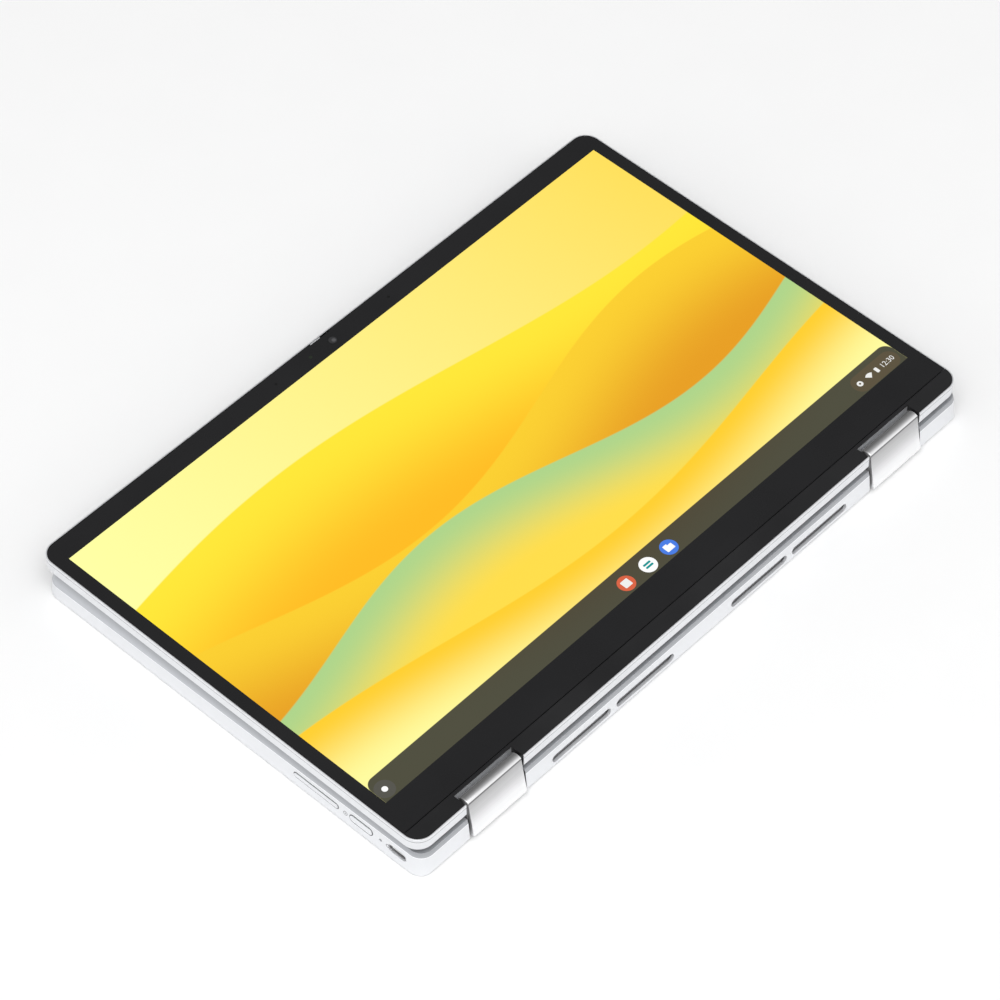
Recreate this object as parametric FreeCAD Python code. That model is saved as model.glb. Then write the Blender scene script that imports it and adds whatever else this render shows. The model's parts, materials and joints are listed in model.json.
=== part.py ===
# Convertible laptop folded right round into a tablet: the base lies upside down on the
# surface with its keyboard facing it, and the lid lies on the base with its screen up.
# Millimetres. +X runs along the hinges, +Y from the hinges to the lid's free edge, +Z up.
# The origin is the centre of the whole footprint, on the surface.
import FreeCAD, Part
import math
import os

V = FreeCAD.Vector
X_AXIS = V(1, 0, 0)
Z_AXIS = V(0, 0, 1)

# Base shell
base_half_width = 161.0
base_rear_y = -104.75
base_front_y = 104.05
base_corner_radius = 7.0
bumper_height = 0.4
deck_z = bumper_height
cover_z = 12.7
deck_thickness = 1.2
rear_edge_radius = 2.2
cover_thickness = 1.1
wall_thickness = 1.3
wall_draft = 0.0976
crease_rear_z = 10.6
crease_slope = 0.0188
cover_draft = 0.3

# Lid shell
lid_half_width = 160.8
lid_rear_y = -102.85
lid_front_y = 105.85
lid_corner_radius = 7.5
lid_bottom_z = 14.3
lid_top_z = 21.3
lid_floor = 1.0
lid_wall = 1.4
rim_width = 0.55
glass_thickness = 0.8
glass_seat_gap = 0.05
seam_y = -94.55
seam_half_gap = 0.2
lid_edge_fillet = 1.6

# Display: a 14 inch panel of 16:9
active_half_width = 154.95
active_half_depth = 87.2
active_centre_y = 7.55
eye_y = 99.85
microphone_x = 33.1
shutter_gap_x = (-9.2, 3.6)
shutter_x = (-8.2, -2.6)
shutter_z = (20.08, 20.36)
lens_radius = 1.5

# Hinges
hinge_x = (103.6, 133.2)
notch_side_gap = 1.2
shaft_drop = 10.675
shaft_offset = 1.0
lid_shaft = V(0, -100.45, 17.8)
base_shaft = V(0, lid_shaft.y - shaft_offset, lid_shaft.z - shaft_drop)
lid_barrel_radius = 3.7
base_barrel_radius = 6.1
housing_flat_top = (-102.55, 20.8)
housing_flat_bottom = (-105.85, 2.9)
housing_wall = 0.5
housing_end_wall = 0.8
shaft_radius = 1.1
idler_pin_radius = 0.6
shaft_end_x = 123.5
running_gap = 0.05
bracket_pocket_x = (89.5, 101.2)
lid_notch_y = -96.05
base_notch_y = -94.85
notch_wall = 1.1
gear_teeth = 12
gear_x = (115.0, 119.0)
plate_x = ((112.0, 113.0), (121.0, 122.0))
plate_radius = 1.95

# Screws: places on the bottom cover, and the rows that hold the hinge brackets
cover_screws = [(-128, -88), (128, -88), (0, -98.4), (-150, 2), (150, 2), (-60, 97.5), (60, 97.5), (0, 27)]
post_radius = 2.4
post_top_z = 11.5
cover_screw_radius = 0.9
cover_head_radius = 2.2
bracket_screw_x = 93.0
bracket_screw_radius = 1.0
bracket_head_radius = 1.9
base_bracket_screw_y = -91.5
lid_bracket_screw_y = (-90, -80)

# Keyboard
key_unit = 18.8
key_gap = 2.6
keyboard_y = -82.0
function_pitch = 11.0
row_pitch = 18.5
key_top_z = 0.3
key_height = 2.6
key_hole_gap = 0.45
key_rows = {
    "function": [15 / 14] * 14,
    "number": [1.0] * 13 + [2.0],
    "upper": [1.5] + [1.0] * 12 + [1.5],
    "home": [1.75] + [1.0] * 11 + [2.25],
    "lower": [2.25] + [1.0] * 10 + [2.75],
}
bottom_left_keys = [1.25, 1.0, 1.25]
space_units = 6.0
bottom_right_keys = [1.25, 1.25]
key_corner = 1.2
key_chamfer = (0.4, 0.5)
keyboard_plate_span = ((-144, 144), (-85, 24), (4.4, 4.9))

# Touch pad
pad_half_width = 52.5
pad_y = (32.0, 98.0)
pad_gap = 0.3
pad_thickness = 1.1
pad_board_span = ((-48, 48), (36, 94), (2.3, 2.8))
pad_switch_y = 86

# Rubber parts
foot_x = 118
foot_size = (44, 6)
foot_rows_y = (-81, 93)
bumper_x = 151.5
bumper_size = (5, 12)
bumper_rows_y = (-86, 0, 92)
bumper_bar_size = (20, 3)
bumper_bars_y = (-98.5, 101.2)

# Left side controls, measured along Y from the origin
side_centre_z = 5.9
volume_y = -48.0
volume_length = 23.6
power_y = -72.05
power_length = 11.8
led_y = -82.35
usb_c_y = -91.1
side_board_x = (-155.6, -154.8)

# Right side ports
usb_a_y = -84.0
usb_c_right_y = -64.0
jack_y = -48.5
card_y = -31.0

# Vents in the rear wall
vent_centres_x = (-70.9, -34.0, 34.0, 70.9)
vent_length = 33.6
vent_height = 3.9
vent_z = 4.95

# Fan and cooling
fan_x = -52.0
fan_y = -60.0
fan_radius = 25.0
fan_z = (5.4, 11.2)
fan_wall = 0.6
fan_pin_radius = 1.0
fan_hub_radius = 9.0
fan_blade_radius = 24.0
fan_blades = 23
blade_sweep = 32
pipe_path = [(30, -40), (-17, -40), (-17, -97)]
pipe_width = 6.0
pipe_z = (8.8, 10.6)
pipe_end = ((-84, -17), (-97, -91), pipe_z)
contact_pad = ((26, 34), (-44, -36), (8.0, 9.0))
contact_plate = ((12, 48), (-54, -26), (8.0, 8.8))
fin_first_x = -85.4
fin_pitch = 2.2
fin_count = 31
fin_y = (-101, -90)
fin_z = (2.0, 2.4, 8.8)

# Boards and modules in the base, as spans along X, Y and Z
board_z = (5.8, 6.8)
board_right = ((-16, 144), (-88, 18), board_z)
board_bridge = ((-148, -15), (-22, 18), board_z)
board_left = ((-148, -90), (-88, -21), board_z)
board_cuts = [
    ((100, 160), (-100, -76), (5, 8)),
    ((-160, -100), (-100, -90), (5, 8)),
    ((-149, -146), (-64, -32.05), (5, 8)),
]
chip_package = ((14, 46), (-52, -28), (6.8, 7.4))
chip_die = ((22, 38), (-46, -34), (7.4, 8.0))
memory_first_x = 56
memory_pitch = 14
memory_size = 12
memory_count = 4
storage_board = ((60, 90), (-20, 10), (7.4, 8.2))
storage_chips = [((64, 74), (-16, 6), (8.2, 9.3)), ((77, 87), (-16, 6), (8.2, 9.3))]
storage_socket = ((60, 90), (10.05, 15), (6.8, 9.0))
radio_board = ((104, 134), (-18, 4), (7.4, 8.2))
radio_shield = ((108, 130), (-14, 2), (8.2, 9.6))
base_lead = ((66, 74), (-87, -76), (6.85, 7.25))
base_lead_socket = ((64, 76), (-76, -70), (6.85, 8.2))
cell_first_x = -105.5
cell_pitch = 71.5
cell_size = 68
cell_y = (29.5, 93)
cell_z = (3.6, 10.2)
speaker_span = ((111, 150), (30, 92), (2.4, 8.6))
speaker_cone = (130, 80, 9)
grille_x = 52.45
grille_half_length = 36.5
grille_bars = 36

# Boards and modules in the lid, as spans along X, Y and Z
panel_z = (17.5, 20.3)
driver_board = ((-120, 80), (-92, -84.2), (17.6, 18.4))
driver_chips = 8
driver_chip_first_x = -110
driver_chip_pitch = 24
touch_board = ((-40, 10), (60, 84), (15.5, 16.2))
touch_chip = ((-26, -12), (66, 78), (16.2, 17.0))
camera_board = ((-42, 42), (97.4, 102.3), (17.8, 18.4))
camera_body_half = 3.4
antenna_strip = ((60, 110), (99.0, 103.6), (15.4, 16.0))
antenna_feed = ((84, 86), (99.0, 103.6), (16.0, 18.0))
lid_leads = [((66, 74), (-91, -84.4), (16.9, 17.3)), ((66, 86), (-95, -90.9), (16.9, 17.3))]


def span_box(x, y, z):
    return Part.makeBox(x[1] - x[0], y[1] - y[0], z[1] - z[0], V(x[0], y[0], z[0]))


def cylinder(centre, axis, radius, start, end):
    return Part.makeCylinder(radius, end - start, centre + axis * start, axis)


def rounded_wire(corners, radii, z):
    """Closed outline through the corners, each rounded to its own radius by a tangent arc."""
    edges = []
    stretches = []
    count = len(corners)
    for i in range(count):
        here = V(*corners[i], z)
        before = (V(*corners[i - 1], z) - here).normalize()
        after = (V(*corners[(i + 1) % count], z) - here).normalize()
        half = before.getAngle(after) / 2
        reach = radii[i] / math.tan(half)
        middle = here + (before + after).normalize() * (radii[i] / math.sin(half) - radii[i])
        stretches.append((here + before * reach, middle, here + after * reach))
    for i in range(count):
        start, middle, end = stretches[i]
        edges.append(Part.Arc(start, middle, end).toShape())
        edges.append(Part.makeLine(end, stretches[(i + 1) % count][0]))
    return Part.Wire(edges)


def rounded_plate(x, y, z, radius):
    corners = [(x[0], y[0]), (x[1], y[0]), (x[1], y[1]), (x[0], y[1])]
    wire = rounded_wire(corners, [radius] * 4, z[0])
    return Part.Face(wire).extrude(V(0, 0, z[1] - z[0]))


def centred_plate(x, y, size, z, radius):
    """Rounded plate of a given length and width about a point."""
    half_x, half_y = size[0] / 2, size[1] / 2
    return rounded_plate((x - half_x, x + half_x), (y - half_y, y + half_y), z, radius)


def slot_along(axis, centre, length, height, depth):
    """Solid slot with round ends: long side along axis, height along Z, depth centred."""
    radius = height / 2 - 0.001
    flat = centred_plate(0, 0, (length, height), (-depth / 2, depth / 2), radius)
    flat.rotate(V(0, 0, 0), X_AXIS, 90)
    if axis == "y":
        flat.rotate(V(0, 0, 0), Z_AXIS, 90)
    flat.translate(centre)
    return flat


def mirrored(shape):
    return shape.mirror(V(0, 0, 0), X_AXIS)


def both_sides(shape):
    return Part.makeCompound([shape, mirrored(shape)])


def crease_height(y):
    """Height of the crease between the side wall and the slanted cover at this Y."""
    return crease_rear_z - crease_slope * (y - base_rear_y)


def wall_outline(z, inset):
    """Base outline from the drafted side walls at height z."""
    lean = wall_draft * (z - deck_z) + inset
    x = base_half_width - lean
    rear, front = base_rear_y + lean, base_front_y - lean
    corners = [(-x, rear), (x, rear), (x, front), (-x, front)]
    return rounded_wire(corners, [max(base_corner_radius - lean, 1.0)] * 4, z)


def cover_outline(z, inset):
    """Base outline from the four slanted planes that rise inward from the crease."""
    rear_rise = z - crease_height(base_rear_y)
    front_rise = z - crease_height(base_front_y)
    rear_lean = wall_draft * (crease_height(base_rear_y) - deck_z) + cover_draft * rear_rise + inset
    front_lean = wall_draft * (crease_height(base_front_y) - deck_z) + cover_draft * front_rise + inset
    corners = [
        (-base_half_width + rear_lean, base_rear_y + rear_lean),
        (base_half_width - rear_lean, base_rear_y + rear_lean),
        (base_half_width - front_lean, base_front_y - front_lean),
        (-base_half_width + front_lean, base_front_y - front_lean),
    ]
    rear_radius = max(base_corner_radius - rear_lean, 1.0)
    front_radius = max(base_corner_radius - front_lean, 1.0)
    return rounded_wire(corners, [rear_radius, rear_radius, front_radius, front_radius], z)


def base_block(inset, low, high):
    walls = Part.makeLoft([wall_outline(low, inset), wall_outline(high, inset)], True, True)
    slants = Part.makeLoft([cover_outline(low, inset), cover_outline(high, inset)], True, True)
    return walls.common(slants)


def notch_blocks(notch_y, grow):
    """Openings for the two hinges in a shell's rear edge, grown by the given amount."""
    x = (hinge_x[0] - notch_side_gap - grow, hinge_x[1] + notch_side_gap + grow)
    return both_sides(span_box(x, (-120, notch_y + grow), (-5, 30)))


def under_crease():
    """Everything below the inclined plane of the crease, as one large block."""
    low = -200
    points = [(low, -60), (-low, -60), (-low, crease_height(-low)), (low, crease_height(low))]
    wire = Part.makePolygon([V(-200, y, z) for y, z in points + points[:1]])
    return Part.Face(wire).extrude(V(400, 0, 0))


def base_cavity():
    cavity = base_block(wall_thickness, deck_z + deck_thickness, cover_z - cover_thickness)
    return cavity.cut(notch_blocks(base_notch_y, notch_wall))


def rear_edge_cutter():
    """What rounding the deck's rear edge removes, so that the lid's edge can roll past it."""
    y, z, radius = base_rear_y, deck_z, rear_edge_radius
    corner = span_box((-170, 170), (y - 1, y + radius), (z - 1, z + radius))
    return corner.cut(cylinder(V(0, y + radius, z + radius), X_AXIS, radius, -171, 171))


def key_places():
    """Every key as (row, x0, x1, y0, y1), from the hinge towards the front."""
    places = []
    y = keyboard_y
    for row, units in key_rows.items():
        depth = function_pitch if row == "function" else row_pitch
        x = -7.5 * key_unit
        for unit in units:
            places.append((row, x + key_gap / 2, x + unit * key_unit - key_gap / 2, y, y + depth - key_gap))
            x += unit * key_unit
        y += depth
    x = -7.5 * key_unit
    last = y + row_pitch - key_gap
    half = y + (row_pitch - key_gap) / 2
    for unit in bottom_left_keys:
        places.append(("bottom", x + key_gap / 2, x + unit * key_unit - key_gap / 2, y, last))
        x += unit * key_unit
    places.append(("space", x + key_gap / 2, x + space_units * key_unit - key_gap / 2, y, last))
    x += space_units * key_unit
    for unit in bottom_right_keys:
        places.append(("bottom", x + key_gap / 2, x + unit * key_unit - key_gap / 2, y, last))
        x += unit * key_unit
    for column in range(3):
        x0 = x + column * key_unit + key_gap / 2
        x1 = x0 + key_unit - key_gap
        places.append(("bottom", x0, x1, half + key_gap / 2, last))
        if column == 1:
            places.append(("bottom", x0, x1, y, half - key_gap / 2))
    return places


def keyboard_deck():
    """Tray that holds the keyboard and carries every port, button and vent in its walls."""
    tray = base_block(0, deck_z, cover_z).common(under_crease())
    tray = tray.cut(base_cavity()).cut(notch_blocks(base_notch_y, 0))
    holes = [rear_edge_cutter()]
    for row, x0, x1, y0, y1 in key_places():
        gap = key_hole_gap
        holes.append(rounded_plate((x0 - gap, x1 + gap), (y0 - gap, y1 + gap), (deck_z - 1, 2.5), 1.4))
    pad = (-pad_half_width - pad_gap, pad_half_width + pad_gap)
    holes.append(rounded_plate(pad, (pad_y[0] - pad_gap, pad_y[1] + pad_gap), (deck_z - 1, 2.5), 2.3))
    for x in vent_centres_x:
        holes.append(slot_along("x", V(x, base_rear_y, vent_z), vent_length, vent_height, 8))
    left = -base_half_width
    holes.append(slot_along("y", V(left, volume_y, side_centre_z), volume_length + 0.5, 2.7, 10))
    holes.append(slot_along("y", V(left, power_y, side_centre_z), power_length + 0.6, 3.8, 10))
    holes.append(slot_along("y", V(left, usb_c_y, side_centre_z), 9.5, 3.8, 10))
    holes.append(slot_along("y", V(-left, usb_c_right_y, side_centre_z), 9.5, 3.8, 10))
    holes.append(span_box((158, 164), (usb_a_y - 7.0, usb_a_y + 7.0), (side_centre_z - 2.9, side_centre_z + 2.9)))
    holes.append(cylinder(V(0, jack_y, side_centre_z), X_AXIS, 2.7, 156, 164))
    holes.append(slot_along("y", V(-left, card_y, side_centre_z), 12.4, 1.6, 10))
    holes.append(cylinder(V(0, led_y, side_centre_z), X_AXIS, 0.7, -164, -156))
    holes.append(both_sides(cylinder(base_shaft, X_AXIS, shaft_radius + 0.3, 98, 103)))
    pocket = (deck_z + deck_thickness, crease_rear_z)
    holes.append(both_sides(span_box(bracket_pocket_x, (base_shaft.y - 1.6, -98), pocket)))
    tray = tray.cut(Part.makeCompound(holes))
    posts = []
    for x, y in cover_screws:
        post = cylinder(V(x, y, 0), Z_AXIS, post_radius, deck_z + deck_thickness - 0.2, post_top_z)
        posts.append(post.cut(cylinder(V(x, y, 0), Z_AXIS, cover_screw_radius + 0.05, 3.0, 12)))
    return tray.fuse(posts).removeSplitter()


def bottom_cover():
    """Slanted shell that closes the base; it faces up while the laptop is folded round."""
    shell = base_block(0, deck_z, cover_z).cut(under_crease())
    shell = shell.cut(base_cavity()).cut(notch_blocks(base_notch_y, 0))
    holes = []
    for row in range(2):
        for i in range(14):
            x = fan_x - 24.7 + i * 3.8
            holes.append(rounded_plate((x - 0.8, x + 0.8), (-84 + row * 26, -62 + row * 26), (11, 13), 0.75))
    for side in (-1, 1):
        for i in range(8):
            x = side * (112 + i * 4)
            holes.append(rounded_plate((x - 0.8, x + 0.8), (74, 86), (11, 13), 0.75))
    for x, y in cover_screws:
        holes.append(cylinder(V(x, y, 0), Z_AXIS, cover_screw_radius + 0.25, 11, 13))
        holes.append(cylinder(V(x, y, 0), Z_AXIS, cover_head_radius + 0.15, cover_z - 0.55, 13))
    return shell.cut(Part.makeCompound(holes))


def base_screws():
    """Cover screws from above and the two screws that hold the hinge brackets to the deck."""
    screws = []
    for x, y in cover_screws:
        here = V(x, y, 0)
        head = cylinder(here, Z_AXIS, cover_head_radius, cover_z - 0.53, cover_z - 0.05)
        shank = cylinder(here, Z_AXIS, cover_screw_radius, 6.0, cover_z - 0.5)
        cross = span_box((x - 1.2, x + 1.2), (y - 0.25, y + 0.25), (cover_z - 0.4, 13))
        other = span_box((x - 0.25, x + 0.25), (y - 1.2, y + 1.2), (cover_z - 0.4, 13))
        screws.append(head.fuse(shank).cut(cross).cut(other))
    for x in (-bracket_screw_x, bracket_screw_x):
        here = V(x, base_bracket_screw_y, 0)
        head = cylinder(here, Z_AXIS, bracket_head_radius, 3.22, 4.0)
        screws.append(head.fuse(cylinder(here, Z_AXIS, bracket_screw_radius, 1.62, 3.3)))
    return Part.makeCompound(screws)


def base_feet():
    """Four rubber strips on the bottom cover; the lid's back rests on them when folded round."""
    z = (cover_z, lid_bottom_z - 0.1)
    places = [(x, y) for x in (-foot_x, foot_x) for y in foot_rows_y]
    return Part.makeCompound([centred_plate(x, y, foot_size, z, 2.9) for x, y in places])


def deck_bumpers():
    """Rubber dots and bars round the keyboard that keep it off the surface and off the screen."""
    z = (0, deck_z)
    places = [(x, y) for x in (-bumper_x, bumper_x) for y in bumper_rows_y]
    pads = [centred_plate(x, y, bumper_size, z, 2.4) for x, y in places]
    pads += [centred_plate(0, y, bumper_bar_size, z, 1.4) for y in bumper_bars_y]
    return Part.makeCompound(pads)


def key_cap(x0, x1, y0, y1):
    """A cap whose top face, towards the user, is slightly smaller than its skirt."""
    inset, rise = key_chamfer
    skirt = rounded_plate((x0, x1), (y0, y1), (key_top_z + rise, key_top_z + key_height), key_corner)
    low = [(x0, y0), (x1, y0), (x1, y1), (x0, y1)]
    left, right, near, far = x0 + inset, x1 - inset, y0 + inset, y1 - inset
    high = [(left, near), (right, near), (right, far), (left, far)]
    face = rounded_wire(high, [key_corner] * 4, key_top_z)
    rim = rounded_wire(low, [key_corner] * 4, key_top_z + rise)
    return skirt.fuse(Part.makeLoft([face, rim], True, True)).removeSplitter()


def keys_of(row):
    return Part.makeCompound([key_cap(*place[1:]) for place in key_places() if place[0] == row])


def keyboard_plate():
    """Steel plate under the keys, with a row of lightening holes near each long edge."""
    plate = rounded_plate(*keyboard_plate_span, 2)
    holes = [cylinder(V(x, y, 0), Z_AXIS, 1.5, 4, 5) for x in range(-130, 131, 20) for y in (-83, 22)]
    return plate.cut(Part.makeCompound(holes))


def touch_pad():
    low = deck_z + 0.1
    return rounded_plate((-pad_half_width, pad_half_width), pad_y, (low, low + pad_thickness), 2.0)


def touch_pad_board():
    """Sensor board of the touch pad on two spring arms, with the click switch in its middle."""
    board = rounded_plate(*pad_board_span, 1)
    switch = cylinder(V(0, pad_switch_y, 0), Z_AXIS, 2.5, 2.1, 2.5)
    return board.fuse(switch)


def mainboard():
    """L-shaped circuit board with cut-outs for the fan and bosses."""
    board = span_box(*board_right).fuse(span_box(*board_bridge)).fuse(span_box(*board_left))
    holes = [cylinder(V(x, y, 0), Z_AXIS, post_radius + 0.8, 5, 8) for x, y in cover_screws]
    cuts = [span_box(*cut) for cut in board_cuts]
    return board.cut(Part.makeCompound(holes + cuts)).removeSplitter()


def processor_and_memory():
    package = span_box(*chip_package).fuse(span_box(*chip_die))
    firsts = [memory_first_x + i * memory_pitch for i in range(memory_count)]
    memory = [span_box((x, x + memory_size), (-50, -50 + memory_size), (6.8, 7.9)) for x in firsts]
    return Part.makeCompound([package] + memory)


def storage_module():
    chips = [span_box(*chip) for chip in storage_chips]
    return Part.makeCompound([span_box(*storage_board).fuse(chips), span_box(*storage_socket)])


def wireless_card():
    return span_box(*radio_board).fuse(span_box(*radio_shield))


def heat_pipe():
    """Flat copper pipe from the processor to the fins, bent once, with its contact plate."""
    pipe = rounded_plate(*contact_pad, 1).fuse(rounded_plate(*contact_plate, 2))
    half = pipe_width / 2
    for (xa, ya), (xb, yb) in zip(pipe_path[:-1], pipe_path[1:]):
        length = math.hypot(xb - xa, yb - ya)
        bar = span_box((0, length), (-half, half), pipe_z)
        bar.rotate(V(0, 0, 0), Z_AXIS, math.degrees(math.atan2(yb - ya, xb - xa)))
        bar.translate(V(xa, ya, 0))
        pipe = pipe.fuse(bar)
    pipe = pipe.fuse(cylinder(V(*pipe_path[1], 0), Z_AXIS, half, *pipe_z))
    return pipe.fuse(span_box(*pipe_end)).removeSplitter()


def cooling_fins():
    """Comb of thin fins in front of the left vents, joined by a strip along the bottom."""
    firsts = [fin_first_x + i * fin_pitch for i in range(fin_count)]
    comb = [span_box((x, x + 0.4), fin_y, fin_z[1:]) for x in firsts]
    strip = span_box((fin_first_x, firsts[-1] + 0.4), fin_y, fin_z[:2])
    return strip.fuse(comb)


def fan_housing():
    """Flat casing with its intake on top, open towards the fins, and the rotor's pin."""
    x, y = fan_x, fan_y
    low, high = fan_z[0] + fan_wall, fan_z[1] - fan_wall
    outer = cylinder(V(x, y, 0), Z_AXIS, fan_radius + 3, *fan_z)
    outer = outer.fuse(span_box((x - 28, x + 28), (y - 28.5, y), fan_z))
    inner = cylinder(V(x, y, 0), Z_AXIS, fan_radius + 2, low, high)
    inner = inner.fuse(span_box((x - 26, x + 26), (y - 40, y), (low, high)))
    shell = outer.cut(inner).cut(cylinder(V(x, y, 0), Z_AXIS, 16, fan_z[1] - 1, fan_z[1] + 1))
    pin = cylinder(V(x, y, 0), Z_AXIS, fan_pin_radius, fan_z[0] + 0.5, fan_z[1] - 1.6)
    return shell.fuse(pin).removeSplitter()


def fan_rotor():
    """Hub with swept blades on a blind bore that runs on the housing's pin."""
    low, high = fan_z[0] + 1.1, fan_z[1] - 1.1
    root = fan_hub_radius - 0.4
    rotor = cylinder(V(0, 0, 0), Z_AXIS, fan_hub_radius, low, high)
    rotor = rotor.fuse(cylinder(V(0, 0, 0), Z_AXIS, fan_blade_radius - 1, low, low + 0.6))
    blades = []
    for i in range(fan_blades):
        blade = span_box((root, fan_blade_radius), (-0.35, 0.35), (low, high - 0.3))
        blade.rotate(V(root, 0, 0), Z_AXIS, blade_sweep)
        blade.rotate(V(0, 0, 0), Z_AXIS, i * 360 / fan_blades)
        blades.append(blade)
    bore = cylinder(V(0, 0, 0), Z_AXIS, fan_pin_radius + running_gap, low - 1, high - 0.4)
    rotor = rotor.fuse(blades).cut(bore)
    rotor.translate(V(fan_x, fan_y, 0))
    return rotor.removeSplitter()


def battery():
    """Three flat cells side by side in the front half of the base."""
    firsts = [cell_first_x + i * cell_pitch for i in range(3)]
    return Part.makeCompound([rounded_plate((x, x + cell_size), cell_y, cell_z, 2) for x in firsts])


def speakers():
    x, y, radius = speaker_cone
    cone = cylinder(V(x, y, 0), Z_AXIS, radius, speaker_span[2][1] - 1, 9)
    return both_sides(rounded_plate(*speaker_span, 3).cut(cone))


def vent_grille():
    """Dark slotted strip that stands behind each pair of rear vents."""
    strips = []
    for side in (-1, 1):
        low = side * grille_x - grille_half_length
        strip = span_box((low, low + 2 * grille_half_length), (-102.55, -101.95), (2.4, 8.2))
        firsts = [low + 1.2 + i * 2 for i in range(grille_bars)]
        bars = [span_box((x, x + 1), (-104, -101), (3.2, 6.8)) for x in firsts]
        strips.append(strip.cut(Part.makeCompound(bars)))
    return Part.makeCompound(strips)


def usb_c_port(side, y):
    """Oval shell with its tongue; the mouth is flush with the side wall."""
    shell = slot_along("y", V(side * 156.2, y, side_centre_z), 9.0, 3.3, 8.0)
    mouth = slot_along("y", V(side * 157.0, y, side_centre_z), 8.4, 2.7, 8.0)
    x = sorted((side * 152.8, side * 159.6))
    tongue = span_box(x, (y - 3.2, y + 3.2), (side_centre_z - 0.35, side_centre_z + 0.35))
    return shell.cut(mouth).fuse(tongue)


def usb_a_port():
    y, z = usb_a_y, side_centre_z
    shell = span_box((147, 160.3), (y - 6.8, y + 6.8), (z - 2.7, z + 2.7))
    mouth = span_box((148, 164), (y - 6.3, y + 6.3), (z - 2.3, z + 2.3))
    tongue = span_box((147.5, 159), (y - 5.6, y + 5.6), (z + 0.1, z + 1.9))
    return shell.cut(mouth).fuse(tongue)


def audio_jack():
    centre = V(0, jack_y, side_centre_z)
    body = span_box((148, 158), (jack_y - 3, jack_y + 3), (side_centre_z - 2.5, side_centre_z + 2.5))
    body = body.fuse(cylinder(centre, X_AXIS, 2.6, 157.9, 160.3))
    return body.cut(cylinder(centre, X_AXIS, 1.8, 149.5, 162))


def card_slot():
    y, z = card_y, side_centre_z
    body = span_box((146, 158.9), (y - 7, y + 7), (z - 1.3, z + 1.3))
    return body.cut(span_box((147, 160), (y - 5.7, y + 5.7), (z - 0.5, z + 0.5)))


def power_button():
    """Pill-shaped button with a stem that goes back to its switch."""
    cap = slot_along("y", V(-159.5, power_y, side_centre_z), power_length, 3.2, 2.4)
    flange = slot_along("y", V(-158.0, power_y, side_centre_z), power_length + 2, 5.0, 0.8)
    return cap.fuse(flange).removeSplitter()


def volume_rocker():
    cap = slot_along("y", V(-159.5, volume_y, side_centre_z), volume_length, 2.2, 2.4)
    flange = slot_along("y", V(-158.0, volume_y, side_centre_z), volume_length + 2, 4.0, 0.8)
    return cap.fuse(flange).removeSplitter()


def side_board():
    """Small circuit board behind the left buttons, with its three switches."""
    board = span_box(side_board_x, (power_y - 8, volume_y + 13), (2.2, 9.2))
    switch_x = (side_board_x[0] - 1.3, side_board_x[0] + 0.1)
    switch_z = (side_centre_z - 1.2, side_centre_z + 1.2)
    switches = [span_box(switch_x, (y - 1.5, y + 1.5), switch_z) for y in (power_y, volume_y - 8, volume_y + 8)]
    return board.fuse(switches)


def status_light():
    return cylinder(V(0, led_y, side_centre_z), X_AXIS, 0.6, -160.3, -157.5)


def hinge_section(offset):
    """Cross-section of a hinge housing: two barrels, a flat outer face and a tangent inner face."""
    small, large = lid_barrel_radius - offset, base_barrel_radius - offset
    top, bottom = V(0, *housing_flat_top), V(0, *housing_flat_bottom)
    run = (bottom - top).normalize()
    inward = V(0, -run.z, run.y)
    start = top + inward * offset

    def meet(centre, radius, sign):
        along = (centre - start).dot(run)
        foot = start + run * along
        return foot + run * (sign * math.sqrt(radius**2 - (centre - foot).Length ** 2))

    crease_top = meet(lid_shaft, small, -1)
    crease_bottom = meet(base_shaft, large, 1)
    line = base_shaft - lid_shaft
    lean = math.asin((large - small) / line.Length)
    heading = math.atan2(line.z, line.y)
    angle = heading + math.pi / 2 + lean
    normal = V(0, math.cos(angle), math.sin(angle))
    tangent_top = lid_shaft + normal * small
    tangent_bottom = base_shaft + normal * large
    under = base_shaft + V(0, 0.35, -0.94).normalize() * large  # any point of each arc will do
    over = lid_shaft + V(0, 0.2, 0.98).normalize() * small
    edges = [
        Part.makeLine(crease_top, crease_bottom),
        Part.Arc(crease_bottom, under, tangent_bottom).toShape(),
        Part.makeLine(tangent_bottom, tangent_top),
        Part.Arc(tangent_top, over, crease_top).toShape(),
    ]
    return Part.Face(Part.Wire(edges))


def hinge_housing():
    """Hollow metal cap that carries both shafts of the right-hand hinge."""
    outer = hinge_section(0)
    outer.translate(X_AXIS * hinge_x[0])
    inner = hinge_section(housing_wall)
    inner.translate(X_AXIS * (hinge_x[0] + housing_end_wall))
    length = hinge_x[1] - hinge_x[0]
    shell = outer.extrude(X_AXIS * length).cut(inner.extrude(X_AXIS * (length - 2 * housing_end_wall)))
    wall = (hinge_x[0] - 1, hinge_x[0] + 2)
    bores = [cylinder(s, X_AXIS, shaft_radius + running_gap, *wall) for s in (lid_shaft, base_shaft)]
    return shell.cut(Part.makeCompound(bores))


def train_axes():
    """The four gear axes, evenly spaced from the base shaft to the lid shaft."""
    step = (lid_shaft - base_shaft) * (1 / 3)
    return [base_shaft + step * i for i in range(4)]


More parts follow.
